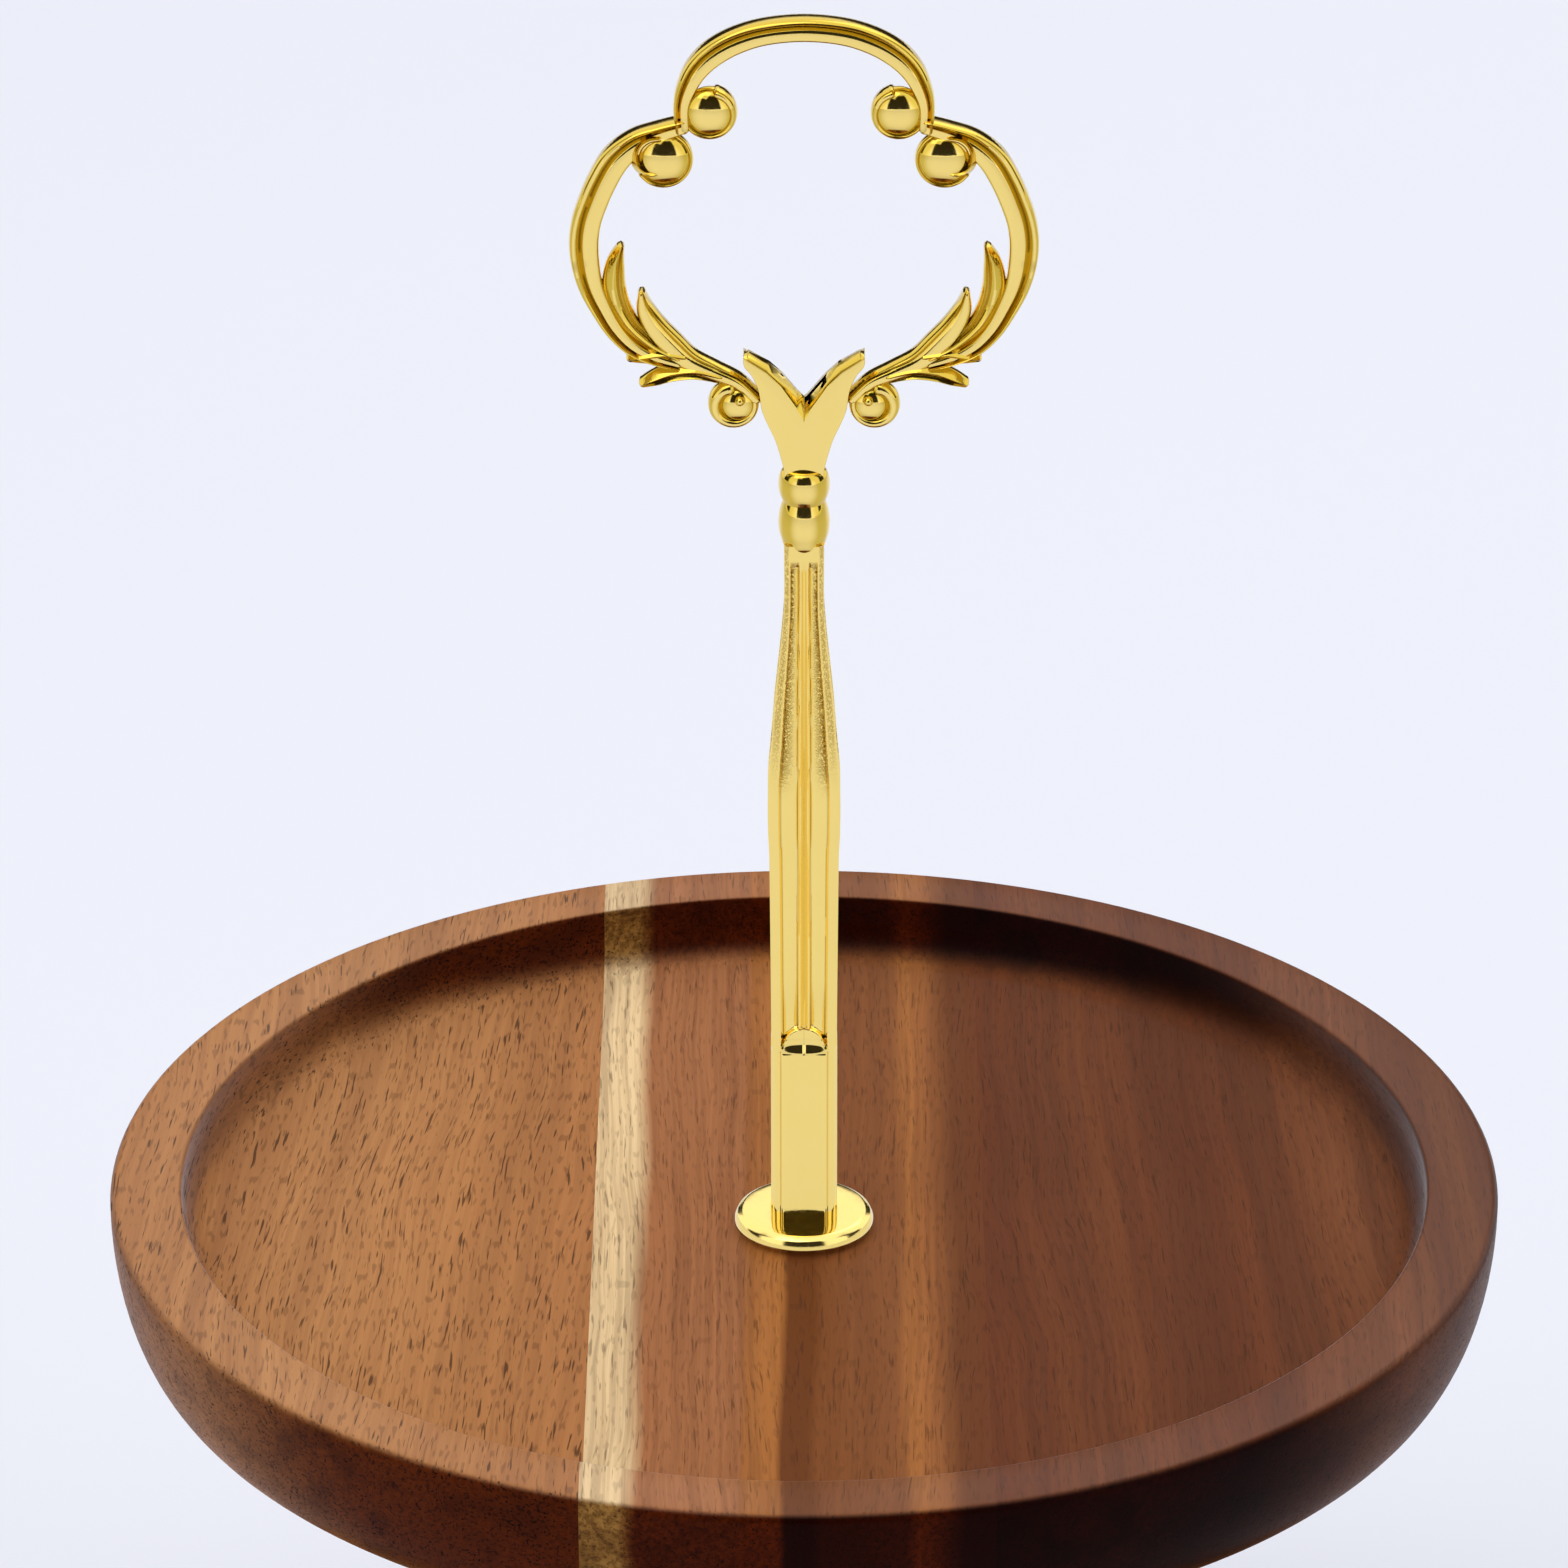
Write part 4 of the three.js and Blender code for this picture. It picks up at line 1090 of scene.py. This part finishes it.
# %% An acacia board's finish
def acacia(name, stops, streak, streaks, pores, slope, shift):
    """Oiled acacia; stops are (millimetres across, colour), shift moves the figure for each board."""
    finish, tree, shader = new_finish(name, Coat_Roughness=0.3, Specular_IOR_Level=0.03)
    where = put(tree, "TexCoord")
    place = in_millimetres(tree)
    axes = put(tree, "SeparateXYZ", {0: place})
    slow = put(tree, "Mapping", {"Vector": place, "Scale": (0.05, 0.01, 0.05),
                                 "Location": (shift, 0, 0)}).outputs[0]
    wobble = put(tree, "TexNoise", {"Vector": slow, "Detail": 3.0, "Scale": 1.0}).outputs["Fac"]
    lean = calc(tree, "MULTIPLY", axes.outputs["Y"], slope)
    across = calc(tree, "ADD", calc(tree, "ADD", axes.outputs["X"], lean),
                  calc(tree, "MULTIPLY_ADD", wobble, 5.0, -2.5))
    low, high = stops[0][0], stops[-1][0]
    share = put(tree, "MapRange", {"Value": across, "From Min": low, "From Max": high})
    ramp = put(tree, "ValToRGB", {"Fac": share.outputs["Result"]})
    while len(ramp.color_ramp.elements) < len(stops):
        ramp.color_ramp.elements.new(0.5)
    for element, (at, colour) in zip(ramp.color_ramp.elements, stops):
        element.position = (at - low) / (high - low)
        element.color = (*colour, 1)
    # This darkening is oil in the end grain and painted shade on the outer wall; it also takes the coat
    # away.
    oil_and_shade_mask = use(tree, oil_and_shade_tree, {"Normal": where.outputs["Normal"]}).outputs["Mask"]
    rim = put(tree, "Attribute", attribute_name="rim").outputs["Fac"]
    waxed = calc(tree, "MULTIPLY", calc(tree, "MULTIPLY_ADD", rim, 0.28, 0.02),
                 calc(tree, "SUBTRACT", 1.0, oil_and_shade_mask))
    tree.links.new(waxed, shader.inputs["Coat Weight"])
    moved = put(tree, "Mapping", {"Vector": place, "Location": (shift, shift * 0.7, 0)}).outputs[0]
    figure = use(tree, acacia_tree, {
        "Vector": moved, "Tone": ramp.outputs["Color"], "Streak": (*streak, 1),
        "Streaks": streaks, "Pores": pores, "Slope": slope, "Oil and shade": oil_and_shade_mask})
    tree.links.new(figure.outputs["Color"], shader.inputs["Base Color"])
    tree.links.new(figure.outputs["Roughness"], shader.inputs["Roughness"])
    bump = put(tree, "Bump", {"Height": figure.outputs["Height"], "Strength": 0.35,
                              "Distance": 0.00012})
    tree.links.new(bump.outputs["Normal"], shader.inputs["Normal"])
    return finish


# %% [markdown]
# The upper tray has a golden board, a middle one with a cream strip of sapwood at one edge and
# brown heart beside it, and a red one. The lower tray is from the same wood without the cream.
# Each line gives colours at millimetres across, then the streaks, pores, slope and shift.

# %% The colours of the boards
GOLDEN, TAN, PINK = (0.45, 0.19, 0.062), (0.41, 0.15, 0.037), (0.40, 0.155, 0.058)
CREAM, BROWN, RED = (0.84, 0.61, 0.33), (0.15, 0.045, 0.012), (0.15, 0.040, 0.012)
west_golden = acacia(
    "acacia_west",
    [(-100, GOLDEN), (-70, (0.51, 0.235, 0.085)), (-45, GOLDEN), (-30, (0.44, 0.18, 0.058))],
    (0.26, 0.10, 0.035), 0.45, 0.8, -0.06, 11.0)
middle_brown = acacia(
    "acacia_middle",
    [(-31, CREAM), (-24.5, CREAM), (-22, PINK), (-9, PINK), (-8, TAN), (-3.5, TAN), (-2.5, BROWN),
     (1, BROWN), (2.5, (0.21, 0.068, 0.02)), (13, (0.26, 0.09, 0.027)), (15, TAN),
     (18, (0.34, 0.12, 0.033)), (22, BROWN), (27, RED)],
    (0.15, 0.048, 0.016), 0.25, 0.5, 0.0, 47.0)
east_red = acacia(
    "acacia_east",
    [(26, RED), (40, (0.19, 0.057, 0.018)), (60, RED), (80, (0.21, 0.068, 0.023)), (100, BROWN)],
    (0.09, 0.026, 0.010), 0.5, 0.5, 0.03, 83.0)
low_streaky = acacia(
    "acacia_low_streaky",
    [(-63, TAN), (-52, BROWN), (-46, (0.30, 0.11, 0.033)), (-33, BROWN), (-27, TAN),
     (-17, (0.36, 0.13, 0.04))],
    (0.10, 0.030, 0.010), 0.4, 0.55, 0.02, 131.0)
low_red = acacia(
    "acacia_low_red",
    [(-18, RED), (0, (0.20, 0.06, 0.019)), (20, RED), (32, (0.24, 0.085, 0.027)), (42, RED)],
    (0.08, 0.022, 0.008), 0.45, 0.5, -0.02, 177.0)
low_golden = acacia(
    "acacia_low_golden",
    [(40, TAN), (60, GOLDEN), (90, (0.49, 0.22, 0.078)), (120, GOLDEN)],
    (0.24, 0.085, 0.03), 0.45, 0.75, 0.05, 211.0)
low_west = acacia(
    "acacia_low_west",
    [(-120, GOLDEN), (-95, (0.49, 0.21, 0.07)), (-75, TAN), (-61, GOLDEN)],
    (0.25, 0.09, 0.03), 0.45, 0.75, -0.04, 263.0)
print("acacia finishes made")

# %% [markdown]
# Both trays now come off the same lathe outline, at their own radius. The upper boards are kept
# out of mirror reflections, so that the post over them stays as pale as gilt in a white studio.

# %% The boards of both trays
UPPER_RADIUS, LOWER_RADIUS = 100.0, 120.0
COUNTERBORE = (11.0, 5.0)
UPPER_GLUE = (-30.5, 26.0)
LOWER_GLUE = (-62.0, -17.0, 41.0)
upper_line = tray_outline(UPPER_RADIUS, span_mm("upper_tray_board_1")[0].z)
lower_line = tray_outline(LOWER_RADIUS, span_mm("lower_tray_board_1")[0].z, COUNTERBORE)
UPPER_FINISHES = [(west_golden, "acacia_tan"), (middle_brown, "acacia_brown"), (east_red, "acacia_red")]
LOWER_FINISHES = [(low_west, "acacia_tan"), (low_streaky, "acacia_brown"), (low_red, "acacia_red"),
                  (low_golden, "acacia_tan")]
for tray, body, outline, glue, finishes in (
    ("upper_tray", "upper_tray", upper_line, UPPER_GLUE, UPPER_FINISHES),
    ("lower_tray", "base", lower_line, LOWER_GLUE, LOWER_FINISHES),
):
    edges = [None, *glue, None]
    for number, (finish, slot) in enumerate(finishes, 1):
        node = f"{tray}_board_{number}"
        board = tray_board(outline, edges[number - 1], edges[number], node.replace("tray", "stave"),
                           body, finish, node)
        board.visible_glossy = body == "base"
